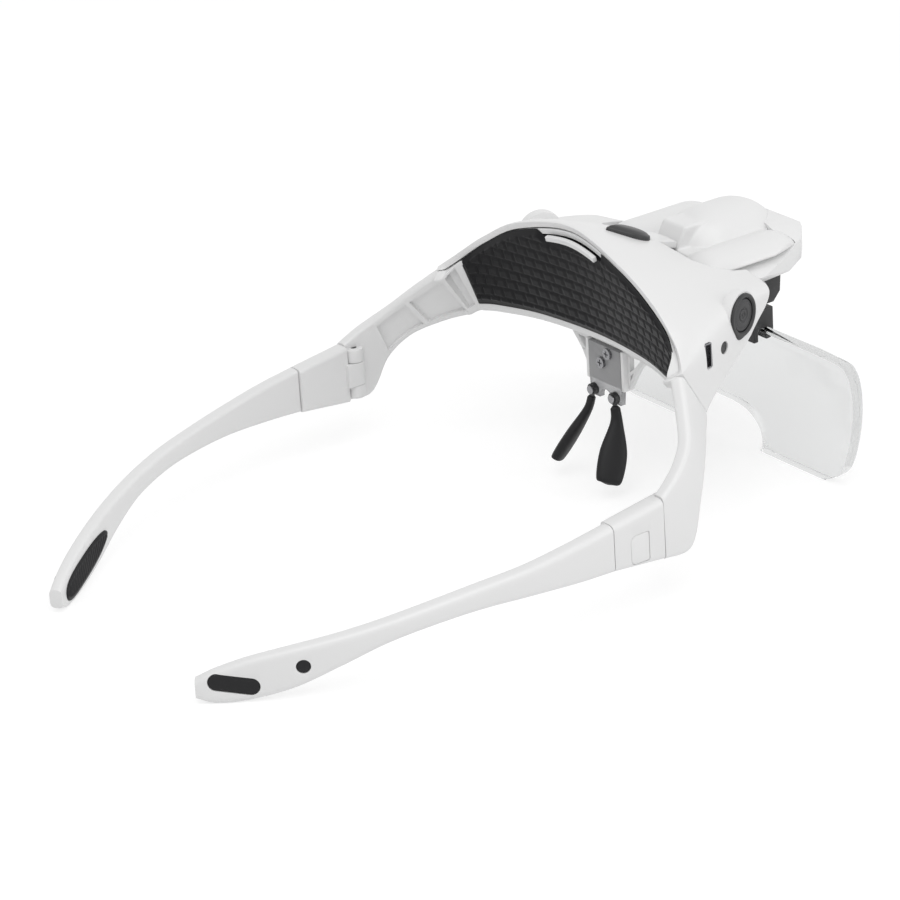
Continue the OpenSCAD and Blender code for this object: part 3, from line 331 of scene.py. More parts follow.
# Walls, depths and gaps, in millimetres
COVER_WALL = 1.8
SEAM_GAP = 0.3
BAND_WALL = 1.6
PAD_DEPTH = 4
RIM_ABOVE = 1.8
RIM_BELOW = 2.8
ARM_INSIDE = 2.8
ARM_OUTSIDE = 1.2
# Part of a station past the seam where the band steps out to the arm's outer face
SEAM_STEP = 0.045
FLIP = np.array([-1, 1, 1])


def cubic(a, b, c, d, u):
    return 0.5 * (2 * b + (c - a) * u + (2 * a - 5 * b + 4 * c - d) * u * u
                  + (3 * b - a - 3 * c + d) * u ** 3)


def arch(points, s):
    """The point at station s of a curve that is mirrored about the middle of the brow."""
    last = len(points) - 1
    t = min(abs(s), last)
    i = min(int(t), last - 1)
    before = points[1] * FLIP if i == 0 else points[i - 1]
    after = 2 * points[last] - points[last - 1] if i == last - 1 else points[i + 2]
    found = cubic(before, points[i], points[i + 1], after, t - i)
    return found * FLIP if s < 0 else found


def along(points, t):
    """The point at share t of a curve that starts and ends freely."""
    last = len(points) - 1
    s = min(max(t, 0), 1) * last
    i = min(int(s), last - 1)
    before = 2 * points[0] - points[1] if i == 0 else points[i - 1]
    after = 2 * points[last] - points[last - 1] if i == last - 1 else points[i + 2]
    return cubic(before, points[i], points[i + 1], after, s - i)


def unit(p):
    return p / np.linalg.norm(p)


def mix(a, b, k):
    return a + (b - a) * k


def ease(k):
    u = min(max(k, 0), 1)
    return u * u * (3 - 2 * u)


@functools.lru_cache(maxsize=None)
def band_out(s):
    """The direction out of the band's outer face at station s."""
    step = 0.05
    run = arch(UPPER, s + step) + arch(LOWER, s + step) - arch(UPPER, s - step) - arch(LOWER, s - step)
    return unit(np.cross(arch(LOWER, s) - arch(UPPER, s), run))


def arm_share(s):
    """How far the section has turned from the pad's band into the side arm."""
    return ease((abs(s) - 2) / 2)


def band_outer(s):
    """How far out the band's outer face stands from the drawn curves."""
    if abs(s) > SEAM + SEAM_STEP:
        return ARM_OUTSIDE
    return mix(PAD_DEPTH + BAND_WALL, ARM_OUTSIDE - COVER_WALL - SEAM_GAP, ease((abs(s) - 2.8) / 1.1))


def band_inner(s):
    return -ARM_INSIDE * ease((abs(s) - PAD_END) / 0.8)


def band_point(s, k, off):
    """A point on the band at share k from its upper to its lower edge, and off millimetres outwards."""
    return mix(arch(UPPER, s), arch(LOWER, s), k) + off * band_out(s)


def cover_edge(s):
    """The cover's rear edge: along the band as far as the seam, then down the band's outer face."""
    t = min(abs(s), SEAM)
    k = max(abs(s) - SEAM, 0) / (COVER_END - SEAM)
    found = band_point(t, k, ARM_OUTSIDE * arm_share(t))
    return found * FLIP if s < 0 else found


@functools.lru_cache(maxsize=None)
def cover_net(s):
    return cover_edge(s), arch(COVER_REAR, s), arch(COVER_MID, s), arch(COVER_FRONT, s)


def cover_point(s, t):
    """A point on the cover, t running from 0 at its rear edge to 1 at its front edge."""
    u = 1 - t
    edge, rear, middle, front_edge = cover_net(s)
    return u ** 3 * edge + 3 * u * u * t * rear + 3 * u * t * t * middle + t ** 3 * front_edge


def cover_out(s, t):
    a = cover_point(s + 0.04, t) - cover_point(s - 0.04, t)
    b = cover_point(s, min(t + 0.02, 1)) - cover_point(s, max(t - 0.02, 0))
    return unit(np.cross(b, a))


def cover_across(s, t):
    """The direction of the cover's wall, which turns square to the band along the seam."""
    square = ease((abs(s) - SEAM + 0.2) / 0.2) * (1 - ease(t / 0.15))
    return unit(mix(cover_out(s, t), band_out(max(min(s, SEAM), -SEAM)), square))


def cover_in(s, t, depth):
    return cover_point(s, t) - depth * cover_across(s, t)


def rounded(corners, radii, count=5):
    """A ring whose corners are rounded, each by its own radius."""
    corners = [np.asarray(c, float) for c in corners]
    ring = []
    for i, corner in enumerate(corners):
        back = corners[i - 1] - corner
        on = corners[(i + 1) % len(corners)] - corner
        radius = min(radii[i], 0.45 * np.linalg.norm(back), 0.45 * np.linalg.norm(on))
        start = corner + unit(back) * radius
        end = corner + unit(on) * radius
        for u in np.linspace(0, 1, count):
            ring.append((1 - u) ** 2 * start + 2 * u * (1 - u) * corner + u * u * end)
    return ring


# Frame: the band behind the pad, with its two side arms
BAYS = [[3.2, 3.62], [3.82, 5.3], [5.45, 6.9]]
BAY_TOP = 0.16
BAY_LOW = 0.86
BAY_DEPTH = 1.2
HINGE_X = 73.4
HINGE_Y = -12.4
EAR_R = 2.9
EAR_HIGH = 4.2
KNUCKLE_LOW = 19.7
KNUCKLE_TOP = 27.1
ARM_END_Y = HINGE_Y + EAR_R


def share(s, d):
    """A length down the band, as a share of the band's height at station s."""
    return d / np.linalg.norm(arch(LOWER, s) - arch(UPPER, s))


def pad_top(s):
    return share(s, COVER_WALL + SEAM_GAP + RIM_ABOVE)


def pad_low(s):
    return 1 - share(s, RIM_BELOW)


def pad_floor(s):
    return min(PAD_DEPTH, band_outer(s) - BAND_WALL)


def pad_slope(s):
    """Half the slope of the pocket's upper wall, from its mouth to its floor."""
    return share(s, 1.8)


def band_ring(s):
    """The band's section. Below the cover its upper edge follows the cover's inside."""
    under = abs(s) < SEAM + SEAM_STEP
    if under:
        gap_under = COVER_WALL + SEAM_GAP
        reach = 0.3 * (band_outer(s) - band_inner(s)) / (PAD_DEPTH + BAND_WALL)
        reach = mix(reach, 0.02, ease((abs(s) - PAD_END) / 0.6))
        back = (band_inner(s) - ARM_OUTSIDE * arm_share(s)) * band_out(s)
        rim = cover_in(s, 0, gap_under)
        sunk = max(np.dot(rim - band_point(s, 0, 0), band_out(s)), 0) * band_out(s)
        upper = [rim - sunk + back, cover_in(s, reach, gap_under)]
    else:
        upper = [band_point(s, 0, band_inner(s)), band_point(s, 0, band_outer(s))]
    lower = [band_point(s, 1, band_outer(s)), band_point(s, 1, band_inner(s))]
    return rounded(upper + lower, [0.7, 0.7, 0.9, 1.1] if under else [1.1, 1.6, 1.6, 1.1])


def pocket_tool():
    """Cuts the forehead pad's pocket."""
    rings = []
    for s in np.arange(-PAD_END, PAD_END + 0.001, 0.125):
        top = pad_top(s)
        low = pad_low(s)
        rings.append([band_point(s, top - pad_slope(s), -5), band_point(s, top + pad_slope(s), pad_floor(s)),
                      band_point(s, low, pad_floor(s)), band_point(s, low, -5)])
    return tool(*loft(rings))


def bay_tool(first, last):
    """Cuts one shallow bay into the inner face of a side arm."""
    rings = []
    for s in np.linspace(first, last, max(int(abs(last - first) / 0.1), 2) + 1):
        near = band_inner(s) - 4
        floor = band_inner(s) + BAY_DEPTH
        rings.append([band_point(s, BAY_TOP, near), band_point(s, BAY_TOP, floor),
                      band_point(s, BAY_LOW, floor), band_point(s, BAY_LOW, near)])
    return tool(*loft(rings))


def hinge_rooms(side):
    """Cuts off the side arm behind the hinge pin, and clears room for the block's knuckle."""
    room = EAR_R + SEAM_GAP
    behind = block((HINGE_X - 12, ARM_END_Y, 0), (HINGE_X + 18, ARM_END_Y + 12, 60))
    knuckle = block((HINGE_X - 10, HINGE_Y - room, KNUCKLE_LOW), (HINGE_X + room, HINGE_Y + 6, KNUCKLE_TOP))
    return [tool(on_side(side, points), faces) for points, faces in (behind, knuckle)]


def band():
    step_at = SEAM + SEAM_STEP
    left = np.concatenate([np.arange(0, HINGE + 0.001, 0.0625), [step_at - 0.02, step_at + 0.02]])
    stations = sorted(set(np.round(left, 4)))
    stations = [-s for s in reversed(stations[1:])] + stations
    piece = make("band", *loft([band_ring(s) for s in stations]), WHITE)
    tools = [pocket_tool()]
    for first, last in BAYS:
        for side, word in SIDES:
            tools.append(bay_tool(side * first, side * last))
    for side, word in SIDES:
        tools += hinge_rooms(side)
    carve(piece, tools)
    soften(piece, 0.35)
    finish(piece, "main", "frame")


def half_round(start):
    """Half a circle round the hinge pin."""
    return [(HINGE_X + EAR_R * math.cos(a), HINGE_Y + EAR_R * math.sin(a))
            for a in np.linspace(start, start + math.pi, 25)]


def hinge_ear(side, word, low, part):
    outline = half_round(math.pi / 2) + [(HINGE_X + 2, HINGE_Y - EAR_R), (HINGE_X + 2, HINGE_Y + EAR_R)]
    points, faces = prism(outline, low, low + EAR_HIGH)
    ear = make(f"hinge_ear_{part}_{word}", on_side(side, points), faces, WHITE)
    soften(ear, 0.3)
    finish(ear, "main")


# Web below the brow that carries the nose plate
NOSE_Y = -53
NOSE_THICK = 1.8
WEB_THICK = 2
WEB_LOW = 30
WEB_OUTLINE = [(-21, 45.6), (-13.1, 37.4), (-8.6, WEB_LOW), (8.6, WEB_LOW), (13.1, 37.4), (21, 45.6)]
WEB_WINDOWS = (
    [(9.4, 41.2), (14.6, 41.2), (12, 38.4), (9.4, 36.2)],
    [(9.4, 34.8), (11.2, 36.4), (9.4, 33)],
)
RAIL_X = 8.1
RAIL_HALF = 0.6


def nose_web():
    web = make("nose_web", *upright(WEB_OUTLINE, NOSE_Y - WEB_THICK, NOSE_Y), WHITE)
    tools = []
    for side in (-1, 1):
        for outline in WEB_WINDOWS:
            tools.append(tool(*upright([(side * x, z) for x, z in outline], NOSE_Y - 4, NOSE_Y + 4)))
    carve(web, tools)
    soften(web, 0.25)
    finish(web, "main")


def nose_rail(side, word):
    x = side * RAIL_X
    rail = make(f"nose_rail_{word}", *block((x - RAIL_HALF, NOSE_Y - WEB_THICK, WEB_LOW),
                                            (x + RAIL_HALF, NOSE_Y + NOSE_THICK, 42.5)), WHITE)
    soften(rail, 0.25)
    finish(rail, "main")


# Shelf inside the brow, with the ears of the pod's hinge
SHELF_LOW = 56
SHELF_TOP = 58.3
SHELF_FRONT = [(31, -72.2), (-31, -72.2)]
POD_PIN_Y = -69
POD_PIN_Z = 66.5
POD_EAR_R = 2.8
POD_EAR_THICK = 3.2
POD_EAR_FOOT = -8.7
POD_EARS = ((-8.6, "right"), (5.4, "left"))


def brow_shelf():
    back = [tuple(band_point(s, 0.62, band_outer(s) - 0.7)[:2]) for s in np.arange(-1.25, 1.26, 0.125)]
    shelf = make("brow_shelf", *prism(back + SHELF_FRONT, SHELF_LOW, SHELF_TOP), WHITE)
    soften(shelf, 0.3)
    finish(shelf, "main")


def pod_ear(x, word):
    outline = [(POD_EAR_R * math.cos(a), POD_EAR_R * math.sin(a)) for a in np.linspace(0, math.pi, 25)]
    outline += [(-POD_EAR_R, POD_EAR_FOOT), (POD_EAR_R, POD_EAR_FOOT)]
    rings = [[(px, POD_PIN_Y + y, POD_PIN_Z + z) for y, z in outline] for px in (x, x + POD_EAR_THICK)]
    ear = make(f"pod_ear_{word}", *loft(rings), WHITE)
    soften(ear, 0.25)
    finish(ear, "main")


# Brow cover
KNOB = cover_point(3.86, 0.685)
KNOB_TURN = math.radians(18)
KNOB_OUT = np.array([math.cos(KNOB_TURN), -math.sin(KNOB_TURN), 0])
BEZEL_D = 12.6
TOP_PLACE = cover_point(0, 0.6)
TOP_OUT = cover_out(0, 0.6)
TOP_LONG = 15.5
TOP_WIDE = 11.9
TOP_ROOM = 0.2
INDICATOR = cover_point(4.85, 0.49)
INDICATOR_OUT = cover_out(4.85, 0.49)
INDICATOR_R = 1.9
PORT = cover_point(4.5, 0.31)
PORT_OUT = np.array([1, 0, 0])
PORT_OUTLINE = [
    (3.8, -0.9), (3.8, 0.9), (3.3, 1.4), (-3.3, 1.4), (-3.8, 0.9), (-3.8, -0.9), (-3.3, -1.4), (3.3, -1.4),
]
# The room for the pod's two lobes, either side of the tongue where the pod's neck sits
NOTCH = [
    (-5.8, -75), (5.8, -75), (5.8, -68.5), (20.5, -68.5), (25.4, -72.2), (27.9, -77.5), (27.9, -90),
    (-27.9, -90), (-27.9, -77.5), (-25.4, -72.2), (-20.5, -68.5), (-5.8, -68.5),
]


def drop_outline(length, width, count=40):
    """A drop with its round end at +X and its point at -X."""
    r = width / 2
    front = length / 2 - r
    turn = math.acos(r / (front + length / 2))
    outline = [(front + r * math.cos(a), r * math.sin(a))
               for a in np.linspace(-math.pi + turn, math.pi - turn, count)]
    tip = np.array((-length / 2, 0))
    first = np.array(outline[0])
    last = np.array(outline[-1])
    outline += [tuple(mix(last, tip, k)) for k in (0.3, 0.6, 0.85, 0.95)]
    outline += [tuple(mix(first, tip, k)) for k in (0.95, 0.85, 0.6, 0.3)]
    return outline


def eased_rows(grid):
    """Rounds the crease that runs forward from the seam's upper corner. The rear edge stays as it is."""
    eased = grid.copy()
    for i in range(len(grid)):
        row = grid[i]
        for turn in range(30):
            middle = 0.25 * row[:-2] + 0.5 * row[1:-1] + 0.25 * row[2:]
            row = np.concatenate([row[:1], middle, row[-1:]])
        eased[i] = mix(grid[i], row, ease(i / (len(grid) - 1) / 0.2))
    return eased


def shell_faces(rows, cols):
    """Faces of a shell between two grids of points, closed round its rim."""
    total = rows * cols
    faces = []
    for i in range(rows - 1):
        for j in range(cols - 1):
            a = i * cols + j
            faces.append((a, a + 1, a + cols + 1, a + cols))
            faces.append((total + a, total + a + cols, total + a + cols + 1, total + a + 1))
    for i in (0, rows - 1):
        for j in range(cols - 1):
            a = i * cols + j
            faces.append((a, a + 1, total + a + 1, total + a))
    for j in (0, cols - 1):
        for i in range(rows - 1):
            a = i * cols + j
            faces.append((a, a + cols, total + a + cols, total + a))
    return faces


def plain_shell():
    """The brow cover before its collars and holes."""
    rows = np.linspace(0, 1, 49)
    cols = np.arange(-COVER_END, COVER_END + 0.001, 0.0625)
    outer = eased_rows(np.array([[cover_point(s, t) for s in cols] for t in rows]))
    inner = eased_rows(np.array([[cover_in(s, t, COVER_WALL) for s in cols] for t in rows]))
    points = np.concatenate([outer.reshape(-1, 3), inner.reshape(-1, 3)])
    return make("brow_shell", points, shell_faces(len(rows), len(cols)), WHITE)


def knob_tool(side, radius, low, high):
    """A disc on the axis of a side button."""
    points, faces = disc(radius, low, high)
    return tool(on_side(side, moved(points, aim(KNOB, KNOB_OUT))), faces)


def brow_shell():
    cover = plain_shell()
    carve(cover, [knob_tool(side, BEZEL_D / 2 + 0.6, -3.6, -0.3) for side, word in SIDES], "UNION")
    tools = [tool(*prism(NOTCH, 50, 90))]
    points, faces = prism(drop_outline(TOP_LONG + 2 * TOP_ROOM, TOP_WIDE + 2 * TOP_ROOM), -8, 8)
    tools.append(tool(moved(points, aim(TOP_PLACE, TOP_OUT)), faces))
    tools += [knob_tool(side, BEZEL_D / 2 + 0.05, -2.2, 8) for side, word in SIDES]
    points, faces = disc(INDICATOR_R, -6, 6, 40)
    tools.append(tool(on_side(-1, moved(points, aim(INDICATOR, INDICATOR_OUT))), faces))
    points, faces = prism(PORT_OUTLINE, -6, 6)
    tools.append(tool(on_side(-1, moved(points, aim(PORT, PORT_OUT))), faces))
    carve(cover, tools)
    soften(cover, 0.45)
    finish(cover, "main", "brow_cover")


# Forehead pad: a plain border round rows of raised scales
SCALE_LONG = 4.3
SCALE_HIGH = 3.5
BORDER_HIGH = 1.7
BORDER_LONG = 2.0
MM_PER_STATION = 16
PAD_SLACK = 0.15


def scales(u, v):
    """Height, from 0 to 1, of the moulded scales at u and v, in millimetres along and across the pad."""
    row = math.floor(v / SCALE_HIGH)
    x = (u / SCALE_LONG + 0.5 * (row % 2)) % 1
    y = (v / SCALE_HIGH) % 1
    groove = min(min(x, 1 - x) * SCALE_LONG, min(y, 1 - y) * SCALE_HIGH)
    return ease(groove / 0.8) * (0.62 + 0.38 * y)


@functools.lru_cache(maxsize=None)
def band_rim(s):
    """How far the band's rear face stands from the drawn curve at its upper edge."""
    rim = cover_in(s, 0, COVER_WALL + SEAM_GAP)
    return min(np.dot(rim - band_point(s, 0, 0), band_out(s)), 0) - ARM_OUTSIDE * arm_share(s)


def pad_upper(s):
    """The pad's lip covers the band's rim, and steps down below the clip."""
    below_clip = 3.9 * ease((0.64 - s) / 0.2) * ease((s + 0.58) / 0.06)
    return share(s, COVER_WALL + SEAM_GAP + 0.1 + below_clip)


def pad_runs():
    """Stations along the pad, and how far along it each of them lies."""
    stations = np.linspace(-PAD_END, PAD_END, 241)
    runs = [0.0]
    for a, b in zip(stations[:-1], stations[1:]):
        runs.append(runs[-1] + np.linalg.norm(band_point(b, 0.5, 0) - band_point(a, 0.5, 0)))
    return stations, runs


PAD_RUNS = pad_runs()


def pad_surface(s, v):
    """A point on the pad's face, v running from 0 at its upper edge to 1 at its lower edge."""
    top = pad_upper(s)
    low = pad_low(s) - share(s, PAD_SLACK)
    high = (low - top) / share(s, 1)
    from_edge = min(v, 1 - v) * high
    from_end = (PAD_END - abs(s)) * MM_PER_STATION
    border = ease(min(from_edge - BORDER_HIGH, from_end - BORDER_LONG) / 0.5)
    crown = ease(min(from_edge, from_end) / 2.2)
    run = float(np.interp(s, *PAD_RUNS))
    rise = mix(0.15, 0.75, crown) + 0.45 * border * scales(run, (1 - v) * high)
    k = mix(top, low, v)
    return band_point(s, k, band_rim(s) * (1 - k) - rise)


def forehead_pad():
    rows = np.linspace(0, 1, 97)
    rings = []
    for s in np.linspace(-PAD_END * 0.997, PAD_END * 0.997, 281):
        deep = pad_floor(s) - PAD_SLACK
        low = pad_low(s) - share(s, PAD_SLACK)
        top = pad_top(s) + share(s, 0.3) + pad_slope(s)
        rings.append([pad_surface(s, v) for v in rows] + [band_point(s, low, deep), band_point(s, top, deep)])
    pad = make("forehead_pad_scaled", *loft(rings), PAD)
    smooth(pad, 60)
    finish(pad, "main", "forehead_pad")


# Temples. Each row is a station's X and Y on the outer face, and its upper and lower edge.
TEMPLE = np.array([
    [78, 8.3, 29.9, 16.2], [77.8, 20, 28.2, 16.7], [76.3, 35, 25.8, 17.3], [73.4, 49, 24, 17.2],
    [70.2, 62, 22.1, 16], [65.6, 75, 19.6, 13.2], [60, 86.5, 17.2, 8.4], [53.2, 97.5, 14.9, 3.2],
    [46.2, 107.5, 12.4, 0.5], [40.8, 114.8, 9.6, 0], [37.5, 119, 7.2, 1.6],
])
TEMPLE_THICK = 5
TIP_THICK = 3.8
TEMPLE_RUN = 190
CORNERS = (1.9, 2.1, 1.5, 1.4)
BLOCK_OUTSIDE = 78
BLOCK_THICK = 6
BLOCK_FRONT_Y = ARM_END_Y + SEAM_GAP
BLOCK_REAR_Y = 8
# The block's upper and lower edge at its front and at its rear
BLOCK_FRONT = np.array([32.4, 14.4])
BLOCK_REAR = np.array([30, 16.2])
# The tongue that plugs a temple into its block, and the room round it
TONGUE_LOW = (73.5, BLOCK_REAR_Y - 12, 18.2)
TONGUE_TOP = (75.7, BLOCK_REAR_Y + 2, 23.2)
TONGUE_ROOM = 0.15
RELEASE_Y = -0.7
RELEASE_Z = 20.7
RELEASE_WIDE = 6.4
RELEASE_HIGH = 8.6
# Shares of the temple's run where the ear pad starts and ends
EAR_PAD = (0.655, 0.935)
RIB_PITCH = 1.7
# The ear pad's plugs: share of the run, half the straight stretch, radius and shape
PLUGS = ((0.84, 4.6, 2.4, "oval"), (0.68, 0.0001, 1.9, "round"))


def temple_at(t):
    return along(TEMPLE, t)


def temple_in(t):
    """The direction from the temple's outer face to its inner face."""
    a = temple_at(t + 0.01) - temple_at(t - 0.01)
    way = unit(a[:2])
    return np.array([-way[1], way[0], 0])


def temple_depth(t):
    return mix(TEMPLE_THICK, TIP_THICK, ease((t - 0.4) / 0.6))


def box_ring(outer_place, inward, thick, top, low, radii):
    corners = []
    for depth, z in ((0, low), (0, top), (thick, top), (thick, low)):
        place = np.array([outer_place[0], outer_place[1], 0]) + inward * depth
        corners.append((place[0], place[1], z))
    return rounded(corners, radii, 7)


def temple_ring(t):
    q = temple_at(t)
    limit = 0.48 * (q[2] - q[3])
    return box_ring(q[:2], temple_in(t), temple_depth(t), q[2], q[3], [min(r, limit) for r in CORNERS])


def pad_height(t):
    """Half the ear pad's height, which narrows to round ends."""
    u = (t - EAR_PAD[0]) / (EAR_PAD[1] - EAR_PAD[0])
    return 3.8 * math.sqrt(max(1 - abs(2 * u - 1) ** 2.6, 0.004))


def ear_outline(t, slack):
    """The temple's station, its inward direction, and the ear pad's half height and middle height."""
    q = temple_at(t)
    return q, temple_in(t), pad_height(t) + slack, (q[2] + q[3]) / 2 - 0.4


def ear_tool():
    """Cuts the ear pad's recess into the temple's inner face."""
    rings = []
    for t in np.linspace(EAR_PAD[0] - 0.003, EAR_PAD[1] + 0.003, 60):
        q, n, h, mid = ear_outline(min(max(t, EAR_PAD[0]), EAR_PAD[1]), 0.1)
        deep = temple_depth(t)
        place = np.array([q[0], q[1], 0])
        ring = []
        for depth, z in ((deep - 1, -h), (deep - 1, h), (deep + 3, h), (deep + 3, -h)):
            p = place + n * depth
            ring.append((p[0], p[1], mid + z))
        rings.append(ring)
    return loft(rings)


def plug_matrix(spot, depth):
    """Places a plug across the temple, in line with its middle, at a depth below its outer face."""
    q = temple_at(spot)
    n = temple_in(spot)
    way = temple_at(spot + 0.01) - temple_at(spot - 0.01)
    lean = math.atan2((way[2] + way[3]) / 2, np.linalg.norm(way[:2]))
    place = np.array([q[0], q[1], 0]) + n * depth
    return aim((place[0], place[1], (q[2] + q[3]) / 2), n) @ Matrix.Rotation(lean, 4, "Z")


def stadium(half, r, count=24):
    ends = [(r * math.cos(a), half + r * math.sin(a)) for a in np.linspace(0, math.pi, count)]
    ends += [(r * math.cos(a), -half + r * math.sin(a)) for a in np.linspace(math.pi, 2 * math.pi, count)]
    return ends


def temple_arm(side, word):
    points, faces = loft([temple_ring(t) for t in np.linspace(0, 1, 121)])
    arm = make(f"temple_{word}", on_side(side, points), faces, WHITE)
    points, faces = block(TONGUE_LOW, TONGUE_TOP)
    carve(arm, [tool(on_side(side, points), faces)], "UNION")
    points, faces = ear_tool()
    tools = [tool(on_side(side, points), faces)]
    for spot, half, r, shape in PLUGS:
        points, faces = prism(stadium(half, r + 0.12), -2, 2)
        tools.append(tool(on_side(side, moved(points, plug_matrix(spot, 0))), faces))
    carve(arm, tools)
    soften(arm, 0.2)
    finish(arm, f"temple_{word}", f"temple_arm_{word}")


def ear_pad(side, word):
    """Slanting ribs inside a plain border."""
    rings = []
    for t in np.linspace(EAR_PAD[0], EAR_PAD[1], 150):
        q, n, h, mid = ear_outline(t, 0)
        deep = temple_depth(t)
        place = np.array([q[0], q[1], 0])
        from_start = (t - EAR_PAD[0]) * TEMPLE_RUN
        from_end = (EAR_PAD[1] - t) * TEMPLE_RUN
        ring = []
        for v in np.linspace(-1, 1, 33):
            near_edge = min((1 - abs(v)) * h, from_start * 0.65, from_end * 0.65)
            ribs = 0.5 + 0.5 * math.cos(2 * math.pi * (from_start * 0.6 + v * h * 0.8) / RIB_PITCH)
            rise = 0.2 + 0.35 * ease(near_edge / 0.9) + 0.25 * ribs * ease((near_edge - 1.0) / 0.4)
            p = place + n * (deep + rise)
            ring.append((p[0], p[1], mid + v * h))
        for v in (1, -1):
            p = place + n * (deep - 0.9)
            ring.append((p[0], p[1], mid + v * h))
        rings.append(ring)
    points, faces = loft(rings)
    pad = make(f"ear_pad_ribbed_{word}", on_side(side, points), faces, RUBBER)
    smooth(pad, 50)
    finish(pad, f"temple_{word}", f"ear_pad_{word}")


def ear_plugs(side, word):
    for spot, half, r, shape in PLUGS:
        rings = []
        for inset, depth in ((0, 2), (0, 0.35), (0.12, 0.16), (0.35, 0.06), (0.8, 0.0), (1.5, -0.05)):
            outline = stadium(half, r - inset)
            rings.append(moved([(x, y, 0) for x, y in outline], plug_matrix(spot, depth)))
        points, faces = loft(rings)
        plug = make(f"ear_plug_{shape}_{word}", on_side(side, points), faces, RUBBER)
        smooth(plug, 50)
        finish(plug, f"temple_{word}")


def release_plan(grow, radii):
    """The release button's outline as (y, z) points, grown by a margin."""
    wide = RELEASE_WIDE / 2 + grow
    high = RELEASE_HIGH / 2 + grow
    quarters = ((-1, -1), (-1, 1), (1, 1), (1, -1))
    corners = [(RELEASE_Y + a * wide, RELEASE_Z + b * high, 0) for a, b in quarters]
    return [(p[0], p[1]) for p in rounded(corners, radii, 7)]


def hinge_block(side, word):
    rings = []
    for k in np.linspace(0, 1, 9):
        top, low = mix(BLOCK_FRONT, BLOCK_REAR, k)
        place = (BLOCK_OUTSIDE, mix(BLOCK_FRONT_Y, BLOCK_REAR_Y, k))
        rings.append(box_ring(place, np.array([-1, 0, 0]), BLOCK_THICK, top, low, CORNERS))
    points, faces = loft(rings)
    hinge = make(f"hinge_block_round_{word}", on_side(side, points), faces, WHITE)
    foot = [(HINGE_X + EAR_R, BLOCK_FRONT_Y + 1), (HINGE_X - EAR_R, BLOCK_FRONT_Y + 1)]
    points, faces = prism(half_round(math.pi) + foot, KNUCKLE_LOW + 0.12, KNUCKLE_TOP - 0.12)
    carve(hinge, [tool(on_side(side, points), faces)], "UNION")
    plan = release_plan(0.1, [0.7, 0.7, 2.2, 2.2])
    points, faces = loft([[(x, y, z) for y, z in plan] for x in (TONGUE_TOP[0], BLOCK_OUTSIDE + 4)])
    carve(hinge, [tool(on_side(side, points), faces)])
    points, faces = block([a - TONGUE_ROOM for a in TONGUE_LOW], [a + TONGUE_ROOM for a in TONGUE_TOP])
    carve(hinge, [tool(on_side(side, points), faces)])
    soften(hinge, 0.22)
    finish(hinge, f"block_{word}", f"hinge_block_{word}")


def release_key(side, word):
    rings = []
    for inset, x in ((0, 76.9), (0, 77.75), (0.1, 77.92), (0.3, 78.0)):
        rings.append([(x, y, z) for y, z in release_plan(-inset, [0.6, 0.6, 2.1, 2.1])])
    points, faces = loft(rings)
    key = make(f"release_key_{word}", on_side(side, points), faces, WHITE)
    smooth(key)
    finish(key, f"release_{word}", f"release_button_{word}")


# Nose pads on their arms, with their width and depth at each point of the path
NOSE_PATH = np.array([
    [5.4, -50.2, 25.2], [6.8, -49.4, 20.5], [9.6, -45.6, 13], [11.9, -41.8, 6.4], [12.3, -41, 5],
])
NOSE_WIDE = np.array([2.8, 3.8, 8.2, 7.8, 4.2])
NOSE_DEEP = np.array([2.4, 2.6, 3.6, 3.4, 2])
NOSE_FLAT = unit(np.array([0.8, 0.5, 0.1]))
NOSE_SQUARE = 0.8


def nose_pad(side, word):
    rings = []
    for t in np.concatenate([np.linspace(0, 0.9, 46), np.linspace(0.91, 1.0, 10)]):
        way = unit(along(NOSE_PATH, t + 0.02) - along(NOSE_PATH, t - 0.02))
        wide = unit(np.cross(NOSE_FLAT, way))
        deep = np.cross(way, wide)
        tip = math.sqrt(max(1 - max((t - 0.8) / 0.2, 0) ** 2.4, 0.02))
        root = math.sqrt(min(1, 0.35 + t / 0.06))
        wide = along(NOSE_WIDE, t) / 2 * tip * root * wide
        deep = along(NOSE_DEEP, t) / 2 * tip * root * deep
        ring = []
        for x, y in circle(1, 36):
            ring.append(along(NOSE_PATH, t) + math.copysign(abs(x) ** NOSE_SQUARE, x) * wide
                        + math.copysign(abs(y) ** NOSE_SQUARE, y) * deep)
        rings.append(ring)
    points, faces = loft(rings)
    soft = make(f"nose_pad_soft_{word}", on_side(side, points), faces, RUBBER)
    smooth(soft, 60)
    finish(soft, f"nose_{word}", f"nose_pad_{word}")


# Buttons. A profile is a list of radii and heights above the cover.
TOP_THICK = 2.0
TOP_CROWN = 0.9
TOP_SUNK = 0.9
KEY_PROFILE = [
    (0.0001, -1.3), (4.84, -1.3), (4.84, -0.25), (4.6, -0.02), (4.1, 0.08), (3.9, 0.0), (3.7, 0.08),
    (2.4, 0.1), (2.1, -0.15), (1.8, -0.16), (1.6, 0.1), (1.1, 0.1), (0.9, -0.12), (0.5, -0.14),
    (0.3, 0.08), (0.0001, 0.1),
]
BEZEL_PROFILE = [(4.96, -2.1), (6.3, -2.1), (6.3, 0.2), (6.1, 0.48), (5.7, 0.6), (5.3, 0.5), (4.96, 0.1)]
TIP_TURN = 0.45
TIP_LONG = 0.9
TIP_SPREAD = 0.3


